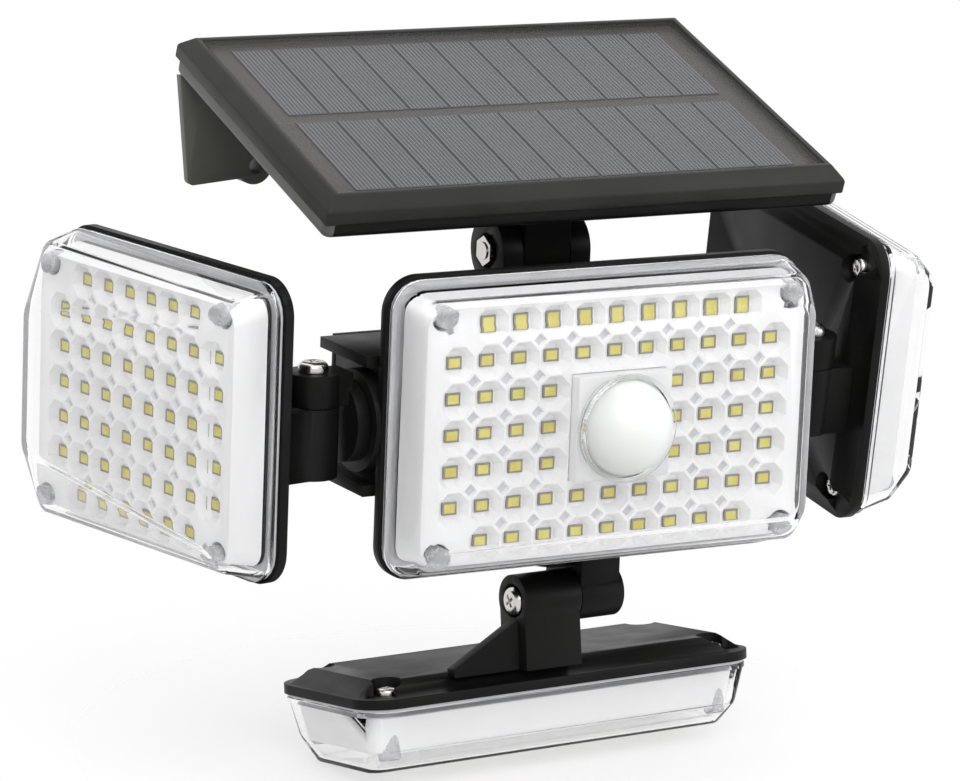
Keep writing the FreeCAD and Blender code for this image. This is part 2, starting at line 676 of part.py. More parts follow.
def build_chips(lamp):
    """The chips, all in one node, and the board that carries them."""
    chips = []
    for c, r in lamp.chips():
        x, z = lamp.chip_place(c, r)
        chips.append(block("%s_chip_%d_%d" % (lamp.name, c, r), "chip_wide", "chip_thick",
                           "chip_tall", "%s - chip_wide / 2" % x, "0",
                           "%s - chip_tall / 2" % z))
    finish(fuse(lamp.name + "_chip_set", chips), lamp.name + "_chips", lamp.placement)

    board = block(lamp.name + "_board_blank", "%s - 2 * (rim_margin - board_margin)" % lamp.wide,
                  "board_thick", "%s - 2 * (rim_margin_tall - board_margin)" % lamp.tall,
                  "0 - %s / 2 + rim_margin - board_margin" % lamp.wide, "chip_thick",
                  "0 - %s / 2 + rim_margin_tall - board_margin" % lamp.tall)
    tools = post_cutters(lamp, "board", "0 - 1", "8")
    finish(cut(lamp.name + "_board_cut", board, tools), lamp.name + "_chip_board",
           lamp.placement)


def build_reflector(lamp):
    """A white tray with a tapered opening round each chip."""
    face = "tray_front_side" if lamp.hand else "tray_front"
    tray = padded(lamp.name + "_tray_blank", "XZ_Plane",
                  ("%s - 2 * tray_in_side" % lamp.wide,
                   "%s - 2 * tray_in_tall" % lamp.tall), None,
                  "0 - chip_thick", face + " + chip_thick", "tray_corner")
    tools = post_cutters(lamp, "tray", "0 - 6", "12")
    for c, r in lamp.chips():
        x, z = lamp.chip_place(c, r)
        tools.append(cone("%s_bowl_%d_%d" % (lamp.name, c, r), "bowl_r", "bowl_floor_r",
                          face + " + chip_thick", x, "0 - " + face, z, "+y"))
    if lamp.window:
        tools.append(block(lamp.name + "_window", "seat_wide + 0.4", "12", "seat_wide + 0.4",
                           "0 - seat_wide / 2 - 0.2", "0 - 6", "0 - seat_wide / 2 - 0.2"))
    finish(cut(lamp.name + "_tray_cut", tray, tools), lamp.name + "_reflector", lamp.placement)


def lens_solids(lamp):
    """The lens's outer and inner solids, as lofts through round-cornered outlines."""
    wall = size("lens_wall")
    root_y = size("rim_front") - size("seal_thick") - wall
    face_y = -size("lens_face")
    taper = size("lens_taper") if lamp.hand else 0
    far = -lamp.hand or -1
    root = (lamp.half - size("lens_root_in"), lamp.half_tall - size("lens_root_in"))
    knee = (lamp.half - size("lens_knee_in"), lamp.half_tall - size("lens_knee_in"))
    face = (lamp.half - size("lens_face_side_in"), lamp.half_tall - size("lens_face_tall_in"))
    outer = loft([outline(root[0], root[1], 6.5, root_y),
                  outline(knee[0], knee[1], 5.5, -size("lens_knee")),
                  outline(face[0], face[1], 3.5, face_y, face[1] - taper, far)])
    inner = loft([outline(root[0] - wall, root[1] - wall, 5.3, root_y),
                  outline(knee[0] - wall, knee[1] - wall, 4.3, wall / 3 - size("lens_knee")),
                  outline(face[0] - wall, face[1] - wall, 2.6, face_y + wall,
                          face[1] - wall - taper, far)])
    return outer, inner, root_y


def build_lens(lamp):
    """A clear lens: flange, leaning walls, bevels, a flat face and four screw posts."""
    wall = size("lens_wall")
    outer, inner, root_y = lens_solids(lamp)
    inset = size("lens_flange_in")
    flange = Part.Face(outline(lamp.half - inset, lamp.half_tall - inset,
                               size("rim_r") - inset, root_y)).extrude(Vector(0, wall, 0))
    mouth = Part.Face(outline(lamp.half - size("lens_root_in") - wall,
                              lamp.half_tall - size("lens_root_in") - wall,
                              5.3, root_y)).extrude(Vector(0, wall, 0))
    shell = outer.cut(inner).fuse(flange.cut(mouth))
    for across, up in ((-1, -1), (-1, 1), (1, -1), (1, 1)):
        spot = Vector(across * (lamp.half - size("post_in_side")), 0,
                      up * (lamp.half_tall - size("post_in_tall")))
        foot = size("rim_front")
        post = Part.makeCylinder(size("post_r"), foot + 3, spot + Vector(0, foot, 0), Y * -1)
        inside = post.common(outer)
        stub = Part.makeCylinder(size("post_r"), foot - root_y, spot + Vector(0, foot, 0), Y * -1)
        pilot = Part.makeCylinder(size("screw_r") + 0.05, size("screw_long") - 1.4,
                                  spot + Vector(0, foot, 0), Y * -1)
        shell = shell.fuse(inside).fuse(stub).cut(pilot)
    if lamp.window:
        eye_r = size("seat_wide") / 2 - size("dome_in") + size("dome_play")
        top = Vector(0, -size("lens_face") - size("eye_ring_out"), 0)
        ring = Part.makeCylinder(eye_r + size("eye_ring"), size("eye_ring_out") + wall / 2, top, Y)
        hole = Part.makeCylinder(eye_r, size("eye_ring_out") + 2 * wall, top - Y * wall / 2, Y)
        shell = shell.fuse(ring).cut(hole)
    part = shaped(lamp.name + "_lens_shape", shell.removeSplitter())
    finish(part, lamp.name + "_lens", lamp.placement)


def build_seal(lamp):
    """A soft ring between the lens flange and the rim."""
    ring = padded(lamp.name + "_seal_ring", "XZ_Plane",
                  ("%s - 2 * lens_flange_in - 0.6" % lamp.wide,
                   "%s - 2 * lens_flange_in - 0.6" % lamp.tall),
                  ("%s - 2 * lens_flange_in - 0.6 - 2 * seal_wide" % lamp.wide,
                   "%s - 2 * lens_flange_in - 0.6 - 2 * seal_wide" % lamp.tall),
                  "0 - rim_front", "seal_thick", "rim_r - 4")
    finish(ring, lamp.name + "_seal", lamp.placement)


def build_lens_screws(lamp):
    """Four screws that go in from behind, through the cover and into the lens posts."""
    screws = []
    for i, (x, z) in enumerate(lamp.posts()):
        seat_y = "rim_front + rim_thick"
        shank = rod("%s_shank_%d" % (lamp.name, i), "screw_r", "screw_long", x, seat_y, z, "-y")
        head = rod("%s_head_%d" % (lamp.name, i), "screw_head_r", "screw_head", x, seat_y, z,
                   "+y")
        slot = block("%s_slot_a_%d" % (lamp.name, i), "screw_head_r * 1.3", "0.7", "0.6",
                     "%s - screw_head_r * 0.65" % x, "%s + screw_head - 0.7" % seat_y,
                     "%s - 0.3" % z)
        slot_2 = block("%s_slot_b_%d" % (lamp.name, i), "0.6", "0.7", "screw_head_r * 1.3",
                       "%s - 0.3" % x, "%s + screw_head - 0.7" % seat_y,
                       "%s - screw_head_r * 0.65" % z)
        screws.append(cut("%s_screw_%d" % (lamp.name, i),
                          fuse("%s_screw_blank_%d" % (lamp.name, i), [shank, head]),
                          [slot, slot_2]))
    finish(fuse(lamp.name + "_screw_set", screws), lamp.name + "_lens_screws", lamp.placement)


def cover_shape(lamp, extra=None, extra_hollow=None, open_back=False):
    """A lamp's rear shell: rim, sloped shoulder, flat back, screw bosses and recesses. The
    extra solid is joined on, the extra hollow is cut from it."""
    rim_y = size("rim_front")
    shoulder_y = rim_y + size("rim_thick")
    back_y = shoulder_y + size("shoulder_deep")
    inset = size("shoulder_in")
    wall = size("shell_wall")
    rim = Part.Face(outline(lamp.half, lamp.half_tall, size("rim_r"), rim_y)).extrude(
        Vector(0, size("rim_thick"), 0))
    step = 1.4
    shoulder = loft([outline(lamp.half - step, lamp.half_tall - step, 6.6, shoulder_y),
                     outline(lamp.half - inset, lamp.half_tall - inset, 3.0, back_y)])
    outer = rim.fuse(shoulder)
    if extra:
        outer = outer.fuse(extra)
    edge = size("seal_wide") + size("lens_flange_in") + 0.9
    hollow = loft([outline(lamp.half - edge, lamp.half_tall - edge, 3.2, rim_y - 1),
                   outline(lamp.half - inset - wall, lamp.half_tall - inset - wall, 2.2,
                           back_y - wall)])
    if extra_hollow:
        hollow = hollow.fuse(extra_hollow)
    shell = outer.cut(hollow)
    for across, up in ((-1, -1), (-1, 1), (1, -1), (1, 1)):
        spot = Vector(across * (lamp.half - size("post_in_side")), 0,
                      up * (lamp.half_tall - size("post_in_tall")))
        boss = Part.makeCylinder(size("recess_r") + size("boss_wall"), back_y - rim_y,
                                 spot + Vector(0, rim_y, 0), Y)
        shell = shell.fuse(boss.common(outer))
        recess = Part.makeCylinder(size("recess_r"), 20, spot + Vector(0, shoulder_y, 0), Y)
        way_out = Part.makeBox(40, 20, 2 * size("recess_r"),
                               Vector(0, shoulder_y, -size("recess_r")))
        way_out.Placement = Placement(spot, Rotation(Y, -math.degrees(math.atan2(up, across))))
        hole = Part.makeCylinder(size("screw_r") + size("screw_play"), 20,
                                 spot + Vector(0, rim_y - 1, 0), Y)
        near = Part.makeBox(14, 20, 14, spot + Vector(-7 + across * 7, shoulder_y - 1, -7 + up * 7))
        shell = shell.cut(recess).cut(way_out.common(near)).cut(hole)
    return shell, back_y


def build_inner(lamp):
    build_chips(lamp)
    build_reflector(lamp)
    build_lens(lamp)
    build_seal(lamp)
    build_lens_screws(lamp)


# ---------------------------------------------------------------- lamp housing

def build_housing(lamp):
    """The main housing: front rim, box for battery and board, sockets for the arms and the
    two ears of the panel hinge."""
    half = size("hub_wide") / 2
    top = size("hub_tall") / 2
    rear = size("hub_rear")
    wall = size("shell_wall")
    back_y = size("rim_front") + size("rim_thick") + size("shoulder_deep")
    brow = size("brow_wide")
    brow_thick = size("brow_thick")
    start = back_y - 2

    def box(x0, x1, y0, y1, z0, z1):
        return Part.makeBox(x1 - x0, y1 - y0, z1 - z0, Vector(x0, y0, z0))

    body = box(-half, half, start, rear, -top, top)
    for z0 in (-top, top - brow_thick):
        body = body.fuse(box(-half - brow, half + brow, back_y - 1, rear, z0, z0 + brow_thick))
    arm = Vector(0, size("arm_back"), 0)
    for side in (-1, 1):
        ring = Part.makeCylinder(size("ring_r"), size("ring_deep") + wall,
                                 arm + Vector(side * (half - wall), 0, 0), X * side)
        body = body.fuse(ring)
    drop = Vector(0, size("drop_back"), -top)
    body = body.fuse(Part.makeCylinder(size("drop_ring_r"), size("drop_ring_deep") + wall,
                                       drop + Vector(0, 0, wall), Z * -1))

    # the two ears of the panel hinge, the right one with a flared foot
    hinge = Vector(-size("hinge_side"), size("hinge_back"), size("hinge_high"))
    inside = size("lug_wide") / 2 + size("hinge_play")
    ear = size("ear_thick")
    front_y = hinge.y - size("ear_r")
    for side in (-1, 1):
        x0 = hinge.x + min(side * inside, side * (inside + ear))
        disc = Part.makeCylinder(size("ear_r"), ear, Vector(x0, hinge.y, hinge.z), X)
        post = box(x0, x0 + ear, front_y, rear, top - wall, hinge.z)
        body = body.fuse(disc).fuse(post)
    flare = size("hinge_foot")
    foot_x = hinge.x + inside + ear
    foot = box(foot_x - 1, foot_x + flare, front_y, rear, top - wall, top + flare)
    body = body.fuse(foot.cut(Part.makeCylinder(
        flare, 2 * (rear - front_y), Vector(foot_x + flare, front_y - 1, top + flare), Y)))
    for side in (-1, 1):
        body = body.cut(Part.makeCylinder(size("hinge_recess_r"), size("hinge_recess"),
                                          hinge + X * side * (inside + ear), X * -side))
    half_bolt = 2 * (inside + ear)
    body = body.cut(Part.makeCylinder(size("hinge_bolt_r") + 0.1, 2 * half_bolt,
                                      hinge - X * half_bolt, X))

    hollow = box(-half + wall, half - wall, start - 4, rear + 1, -top + wall, top - wall)
    shell, back_y = cover_shape(lamp, body, hollow)

    for side in (-1, 1):
        bore = Part.makeCylinder(size("pivot_r") + size("pivot_play"), 20,
                                 arm + Vector(side * (half - 8), 0, 0), X * side)
        shell = shell.cut(bore)
    bore = Part.makeCylinder(size("pivot_r") + size("pivot_play"), 20,
                             drop + Vector(0, 0, 8), Z * -1)
    button = Part.makeCylinder(size("button_r") + size("button_play"), 12,
                               Vector(size("button_side"), size("drop_back"), -top - 4), Z)
    shell = shell.cut(bore).cut(button)

    # four bosses for the rear cover's screws
    for x in (-half + 5, half - 5):
        for z in (-top + 5, top - 5):
            boss = box(x - 3.4, x + 3.4, rear - 8, rear, z - 3.4, z + 3.4)
            pilot = Part.makeCylinder(size("screw_r") + 0.05, 7, Vector(x, rear, z), Y * -1)
            shell = shell.fuse(boss).cut(pilot)
    # two saddles that carry the battery cell
    battery_x = -half + size("battery_start")
    battery_long = size("hub_wide") - size("battery_start") - size("battery_end")
    battery_room = Part.makeCylinder(size("battery_r") + 0.1, battery_long + 4,
                                     Vector(battery_x - 2, size("battery_back"), 0), X)
    for x in (battery_x + 6, battery_x + battery_long - 8):
        saddle = box(x, x + 2, size("battery_back") - 7, size("battery_back") + 7,
                     -top + wall / 2, -size("battery_r") * 0.55)
        shell = shell.fuse(saddle.cut(battery_room))
    finish(shaped("housing_shape", shell.removeSplitter()), "main_housing", lamp_frame)


def build_rear_cover():
    """The flat cover behind the housing and its four screws."""
    half = "hub_wide / 2"
    rear = "hub_rear"
    blank = block("rear_cover_blank", "hub_wide", "rear_cover_thick", "hub_tall",
                  "0 - %s" % half, rear, "0 - hub_tall / 2")
    spigot = block("rear_cover_spigot", "hub_wide - 2 * shell_wall - 16", "0.8",
                   "hub_tall - 2 * shell_wall - 0.4", "0 - %s + shell_wall + 8" % half,
                   "%s - 0.8" % rear, "0 - hub_tall / 2 + shell_wall + 0.2")
    holes = []
    screws = []
    for i, x in enumerate(("0 - hub_wide / 2 + 5", "hub_wide / 2 - 5")):
        for j, z in enumerate(("0 - hub_tall / 2 + 5", "hub_tall / 2 - 5")):
            tag = "%d%d" % (i, j)
            holes.append(rod("rear_hole_" + tag, "screw_r + screw_play", "12", x,
                             "%s - 4" % rear, z, "+y"))
            shank = rod("rear_shank_" + tag, "screw_r", "6", x,
                        "%s + rear_cover_thick" % rear, z, "-y")
            head = rod("rear_head_" + tag, "screw_head_r", "screw_head", x,
                       "%s + rear_cover_thick" % rear, z, "+y")
            screws.append(fuse("rear_screw_" + tag, [shank, head]))
    board_middle = "hub_wide / 2 - battery_end + board_gap + control_wide / 2"
    posts = [rod("board_post_%d" % i, "1.5", "board_post + 1", board_middle, "hub_rear + 1", z,
                 "-y") for i, z in enumerate(("8 - control_tall / 2", "control_tall / 2 - 8"))]
    finish(cut("rear_cover_cut", fuse("rear_cover_whole", [blank, spigot] + posts), holes),
           "rear_cover", lamp_frame)
    finish(fuse("rear_screw_set", screws), "rear_cover_screws", lamp_frame)


def build_power():
    """Battery cell, control board, hinge bolt and nut, and the mode button."""
    start = "0 - hub_wide / 2 + battery_start"
    end = "hub_wide / 2 - battery_end"
    battery = rod("battery_cell", "battery_r", "hub_wide - battery_start - battery_end",
                  start, "battery_back", "0", "+x")
    cap = rod("battery_cap", "battery_r * 0.35", "1.2", end, "battery_back", "0", "+x")
    finish(fuse("battery_whole", [battery, cap]), "battery", lamp_frame)
    board_x = "%s + board_gap" % end
    board_y = "hub_rear - board_post - board_thick"
    board = block("control_board_blank", "control_wide", "board_thick", "control_tall",
                  board_x, board_y, "0 - control_tall / 2")
    parts = [board]
    for i, (x, z, wide, tall, high) in enumerate((
            ("2", "0 - 8", "5", "5", "1.0"), ("8.5", "0 - 9", "4", "3", "1.6"),
            ("3", "4", "7", "4", "1.2"))):
        parts.append(block("control_chip_%d" % i, wide, "%s + 0.2" % high, tall,
                           "%s + %s" % (board_x, x), "%s - %s" % (board_y, high), z))
    finish(fuse("control_board_whole", parts), "control_board", lamp_frame)

    ear_face = "lug_wide / 2 + hinge_play + ear_thick"
    right_seat = "%s - hinge_side - hinge_recess" % ear_face
    left_seat = "hinge_recess - hinge_side - (%s)" % ear_face
    bolt_head = hexagon("hinge_bolt_head", "nut_flat", "hinge_recess - 0.2", right_seat,
                        "hinge_back", "hinge_high", "+x")
    bolt_shank = rod("hinge_bolt_shank", "hinge_bolt_r",
                     "2 * (%s - hinge_recess) + nut_thick + 0.3" % ear_face,
                     right_seat, "hinge_back", "hinge_high", "-x")
    finish(fuse("hinge_bolt_whole", [bolt_head, bolt_shank]), "hinge_bolt", lamp_frame)
    nut = hexagon("hinge_nut_blank", "nut_flat + 0.5", "nut_thick", left_seat, "hinge_back",
                  "hinge_high", "-x")
    nut_hole = rod("hinge_nut_hole", "hinge_bolt_r + 0.02", "nut_thick + 2",
                   "%s + 1" % left_seat, "hinge_back", "hinge_high", "-x")
    finish(cut("hinge_nut_cut", nut, [nut_hole]), "hinge_nut", lamp_frame)

    low = "0 - hub_tall / 2"
    cap = rod("button_cap", "button_r", "button_out + shell_wall + 0.4", "button_side",
              "drop_back", "%s - button_out" % low, "+z")
    flange = rod("button_flange", "button_r + 1.2", "0.8", "button_side", "drop_back",
                 "%s + shell_wall + 0.1" % low, "+z")
    finish(fuse("button_whole", [cap, flange]), "mode_button", lamp_frame)


def build_sensor():
    """The motion sensor: a square seat behind the lens, a milky dome that stands through the
    lens on its foot ring, and the sensor can."""
    dome_r = "(seat_wide / 2 - dome_in)"
    foot_y = "lens_wall - lens_face + dome_set"
    seat_y = "%s + dome_foot_thick + 0.05" % foot_y
    outer = block("seat_outer", "seat_wide", "chip_thick - (%s)" % seat_y, "seat_wide",
                  "0 - seat_wide / 2", seat_y, "0 - seat_wide / 2")
    room = block("seat_room", "seat_wide - 2 * seat_wall", "lens_face + chip_thick",
                 "seat_wide - 2 * seat_wall", "seat_wall - seat_wide / 2",
                 "%s + 1.2" % seat_y, "seat_wall - seat_wide / 2")
    eye = rod("seat_eye", "%s - dome_wall" % dome_r, "4", "0", "%s - 2" % seat_y, "0", "+y")
    finish(cut("seat_cut", outer, [room, eye]), "sensor_seat", lamp_frame)

    ball = doc.addObject("Part::Sphere", "dome_outer")
    ball.setExpression("Radius", cell(dome_r))
    seat(ball, ("0", "%s + dome_foot_thick" % foot_y, "0"))
    foot = rod("dome_foot_ring", "%s + dome_foot" % dome_r, "dome_foot_thick", "0", foot_y, "0",
               "+y")
    inner = doc.addObject("Part::Sphere", "dome_inner")
    inner.setExpression("Radius", cell("%s - dome_wall" % dome_r))
    seat(inner, ("0", "%s + dome_foot_thick" % foot_y, "0"))
    behind = block("dome_behind", "2 * seat_wide", "seat_wide", "2 * seat_wide",
                   "0 - seat_wide", "%s + dome_foot_thick" % foot_y, "0 - seat_wide")
    finish(cut("dome_cut", fuse("dome_whole", [ball, foot]), [inner, behind]), "sensor_dome",
           lamp_frame)

    can = rod("sensor_can", "sensor_r", "sensor_high", "0", "chip_thick", "0", "-y")
    base = rod("sensor_base", "sensor_r + 0.5", "0.6", "0", "chip_thick", "0", "-y")
    finish(fuse("sensor_whole", [can, base]), "motion_sensor", lamp_frame)


front = Lamp("front", "front_columns", "tall_rows", lamp_frame, window=True)
build_inner(front)
build_housing(front)
build_rear_cover()
build_power()
build_sensor()

# ---------------------------------------------------------------- side arms and heads

def build_side_arm(name, side, placement):
    """A side arm: pivot, collar, stem and the upper half of the knuckle."""
    face = size("hub_wide") / 2 + size("ring_deep") + size("face_gap")
    inner = size("hub_wide") / 2 - size("shell_wall") - size("face_gap")
    centre = Vector(0, size("arm_back"), 0)
    out = X * side
    pivot = Part.makeCylinder(size("pivot_r"), face - inner + 0.5, centre + out * inner, out)
    collar = Part.makeCylinder(size("collar_r"), size("collar_thick"), centre + out * face, out)
    knuckle = centre + out * KNUCKLE_OUT
    seam = size("knuckle_seam")
    barrel = Part.makeCylinder(size("knuckle_r"), size("knuckle_top") - seam,
                               knuckle + Vector(0, 0, seam), Z)
    thick = size("stem_thick")
    start = face + size("collar_thick") - 1
    stem_long = KNUCKLE_OUT - start
    stem = Part.makeBox(stem_long, thick, size("knuckle_top") - seam,
                        Vector(start if side > 0 else -start - stem_long,
                               centre.y - thick / 2, seam))
    web_long = size("knuckle_reach") - size("knuckle_r") - 1.2 - start + size("hub_wide") / 2
    web = Part.makeBox(web_long, thick, seam + 6,
                       Vector(start if side > 0 else -start - web_long,
                              centre.y - thick / 2, -6))
    arm = pivot.fuse(collar).fuse(barrel).fuse(stem).fuse(web)
    hole = Part.makeCylinder(size("bolt_r") + size("bolt_play"), 40, knuckle - Z * 20, Z)
    pilot = Part.makeCylinder(size("bolt_r") + 0.02, 7, centre + out * inner, out)
    arm = arm.cut(hole).cut(pilot).removeSplitter()
    finish(shaped(name + "_arm_shape", arm), name + "_arm", placement)
    build_retainer(name, centre + out * inner, out * -1, placement)


def build_retainer(name, spot, way, placement):
    """The washer and screw that hold an arm's pivot in its socket."""
    washer = Part.makeCylinder(size("washer_r"), size("washer_thick"), spot, way)
    hole = Part.makeCylinder(size("bolt_r") + size("bolt_play"), 10, spot - way * 2, way)
    finish(shaped(name + "_washer_shape", washer.cut(hole)), name + "_arm_washer", placement)
    seat_at = spot + way * size("washer_thick")
    shank = Part.makeCylinder(size("bolt_r"), size("washer_thick") + 6, seat_at, way * -1)
    head = Part.makeCylinder(size("bolt_head_r"), size("bolt_head") * 0.8, seat_at, way)
    finish(shaped(name + "_pivot_screw_shape", shank.fuse(head)), name + "_pivot_screw",
           placement)


def hexagon_along(spot, way, flats, thick):
    """A hexagonal prism as a shape, from a spot in a direction."""
    radius = flats / math.sqrt(3)
    turn = Placement(spot, Rotation(Z, way))
    points = [turn.multVec(Vector(radius * math.cos(math.radians(a)),
                                  radius * math.sin(math.radians(a)), 0))
              for a in range(0, 361, 60)]
    return Part.Face(Part.makePolygon(points)).extrude(way * thick)


def hex_nut(spot, way, flats, thick, bore):
    """A hexagonal nut as a shape."""
    return hexagon_along(spot, way, flats, thick).cut(
        Part.makeCylinder(bore, thick + 2, spot - way, way))


def build_knuckle_fixings(lamp, spot, way, top, foot):
    """The knuckle screw, its nut and where they lie: from the head end to the foot."""
    seat_at = spot + way * (top + size("face_gap") / 2)
    shank_long = top + foot - 1.0
    shank = Part.makeCylinder(size("bolt_r"), shank_long, seat_at, way * -1)
    head = Part.makeCylinder(size("bolt_head_r"), size("bolt_head"), seat_at, way)
    head = head.makeFillet(size("bolt_head") * 0.45, [
        e for e in head.Edges if e.BoundBox.DiagonalLength > 1
        and (e.CenterOfMass - seat_at).dot(way) > size("bolt_head") * 0.9])
    slot_long = size("bolt_head_r") * 1.2
    side = X if abs(way.x) < 0.5 else Y
    other = way.cross(side)
    for a, b in ((side, other), (other, side)):
        corner = (seat_at + way * (size("bolt_head") - 1) - a * (slot_long / 2) - b * 0.45)
        slot = Part.makeBox(slot_long, 0.9, 2)
        slot.Placement = Placement(corner, Rotation(a, b, way, "ZXY"))
        head = head.cut(slot)
    finish(shaped(lamp.name + "_knuckle_screw_shape", shank.fuse(head)),
           lamp.name + "_knuckle_screw", lamp.placement)
    nut = hex_nut(spot - way * foot, way, size("nut_flat"), size("nut_thick"),
                  size("bolt_r") + 0.02)
    finish(shaped(lamp.name + "_knuckle_nut_shape", nut), lamp.name + "_knuckle_nut",
           lamp.placement)


def nut_pocket(spot, way, foot):
    """A hexagonal pocket for the nut at the knuckle's foot."""
    return hexagon_along(spot - way * (foot + 1), way, size("nut_flat") + 0.1,
                         size("nut_thick") + 1.05)


def build_side_head(lamp):
    """A side head's cover with the lower half of the knuckle, its web and its fin."""
    back_y = size("rim_front") + size("rim_thick") + size("shoulder_deep")
    spot = Vector(lamp.hand * size("knuckle_side"), size("knuckle_deep"), 0)
    low = -size("knuckle_low")
    high = size("knuckle_seam") - size("face_gap")
    barrel = Part.makeCylinder(size("knuckle_r"), high - low, spot + Vector(0, 0, low), Z)
    wide = size("web_wide")
    web = Part.makeBox(wide, spot.y - back_y + 1, high - low,
                       Vector(spot.x - wide / 2, back_y - 1, low))
    fin_wide = size("fin_wide")
    fin_long = size("shoulder_in") * 2
    fin_x = spot.x - lamp.hand * (wide / 2) - (fin_long if lamp.hand > 0 else 0)
    fin = Part.makeBox(fin_long, spot.y - back_y + 1, fin_wide, Vector(fin_x, back_y - 1, low))
    corner = Part.makeBox(60, 60, 60)
    slope = math.degrees(math.atan2(spot.y - back_y, fin_long))
    if lamp.hand > 0:
        corner.Placement = Placement(Vector(fin_x, back_y, -30), Rotation(Z, slope))
    else:
        corner.Placement = Placement(Vector(fin_x + fin_long, back_y, -30),
                                     Rotation(Z, 90 - slope))
    shell, back_y = cover_shape(lamp, barrel.fuse(web).fuse(fin.cut(corner)))
    hole = Part.makeCylinder(size("bolt_r") + 0.02, 60, spot - Z * 30, Z)
    shell = shell.cut(hole).cut(nut_pocket(spot, Z, size("knuckle_low")))
    part = shaped(lamp.name + "_cover_shape", shell.removeSplitter())
    finish(part, lamp.name + "_back_cover", lamp.placement)
    build_knuckle_fixings(lamp, spot, Z, size("knuckle_top"), size("knuckle_low"))


knuckle = Vector(KNUCKLE_OUT, size("arm_back"), 0)
left_knuckle = Vector(-knuckle.x, knuckle.y, 0)
in_left = Vector(size("knuckle_side"), size("knuckle_deep"), 0)
in_right = Vector(-size("knuckle_side"), size("knuckle_deep"), 0)
right_roll = Rotation(X, size("right_roll"))

left = Lamp("left", "side_columns", "tall_rows",
            head_frame(left_knuckle, Rotation(Z, size("left_turn")), in_left), hand=1)
right = Lamp("right", "side_columns", "tall_rows",
             head_frame(knuckle, right_roll.multiply(Rotation(Z, size("right_turn"))), in_right),
             hand=-1)
build_side_arm("left", -1, lamp_frame)
build_side_arm("right", 1, turned_about(knuckle, right_roll))
for head in (left, right):
    build_inner(head)
    build_side_head(head)

# ---------------------------------------------------------------- low arm and low head

def build_low_arm(placement):
    """The low arm: pivot and collar above, stem, and the right half of the low knuckle."""
    top = size("hub_tall") / 2
    face = -top - size("drop_ring_deep") - size("face_gap")
    inner = -top + size("shell_wall") + size("face_gap")
    centre = Vector(0, size("drop_back"), 0)
    pivot = Part.makeCylinder(size("pivot_r"), inner - face + 0.5, centre + Z * inner, Z * -1)
    collar = Part.makeCylinder(size("collar_r"), size("collar_thick"), centre + Z * face, Z * -1)
    seam = size("drop_seam") + size("face_gap")
    right = size("drop_right")
    knuckle_y = size("drop_knuckle_back")
    drop = -size("drop_high")
    barrel = Part.makeCylinder(size("knuckle_r"), right - seam, Vector(seam, knuckle_y, drop), X)
    # a round stem down to just over the knuckle, then a block beside it to the knuckle
    stem_low = drop + size("knuckle_r") + size("drop_stem_room")
    stem = Part.makeCylinder(size("drop_stem_r"), face - stem_low, centre + Z * face, Z * -1)
    block_top = stem_low + size("drop_block_high")
    block_rear = centre.y + size("drop_stem_r") - 1
    block_front = knuckle_y - size("knuckle_r") + 1
    elbow = Part.makeBox(right - 1 - seam, block_rear - block_front, block_top - drop,
                         Vector(seam, block_front, drop))
    arm = pivot.fuse(collar).fuse(barrel).fuse(stem).fuse(elbow)
    hole = Part.makeCylinder(size("bolt_r") + size("bolt_play"), 80,
                             Vector(-40, knuckle_y, drop), X)
    pocket = Part.makeCylinder(size("bolt_head_r") + 0.4, 20,
                               Vector(right - size("nut_thick") - 0.3, knuckle_y, drop), X)
    pilot = Part.makeCylinder(size("bolt_r") + 0.02, 7, centre + Z * inner, Z * -1)
    arm = arm.cut(hole).cut(pilot).cut(pocket).removeSplitter()
    finish(shaped("low_arm_shape", arm), "low_arm", placement)
    build_retainer("low", centre + Z * inner, Z, placement)


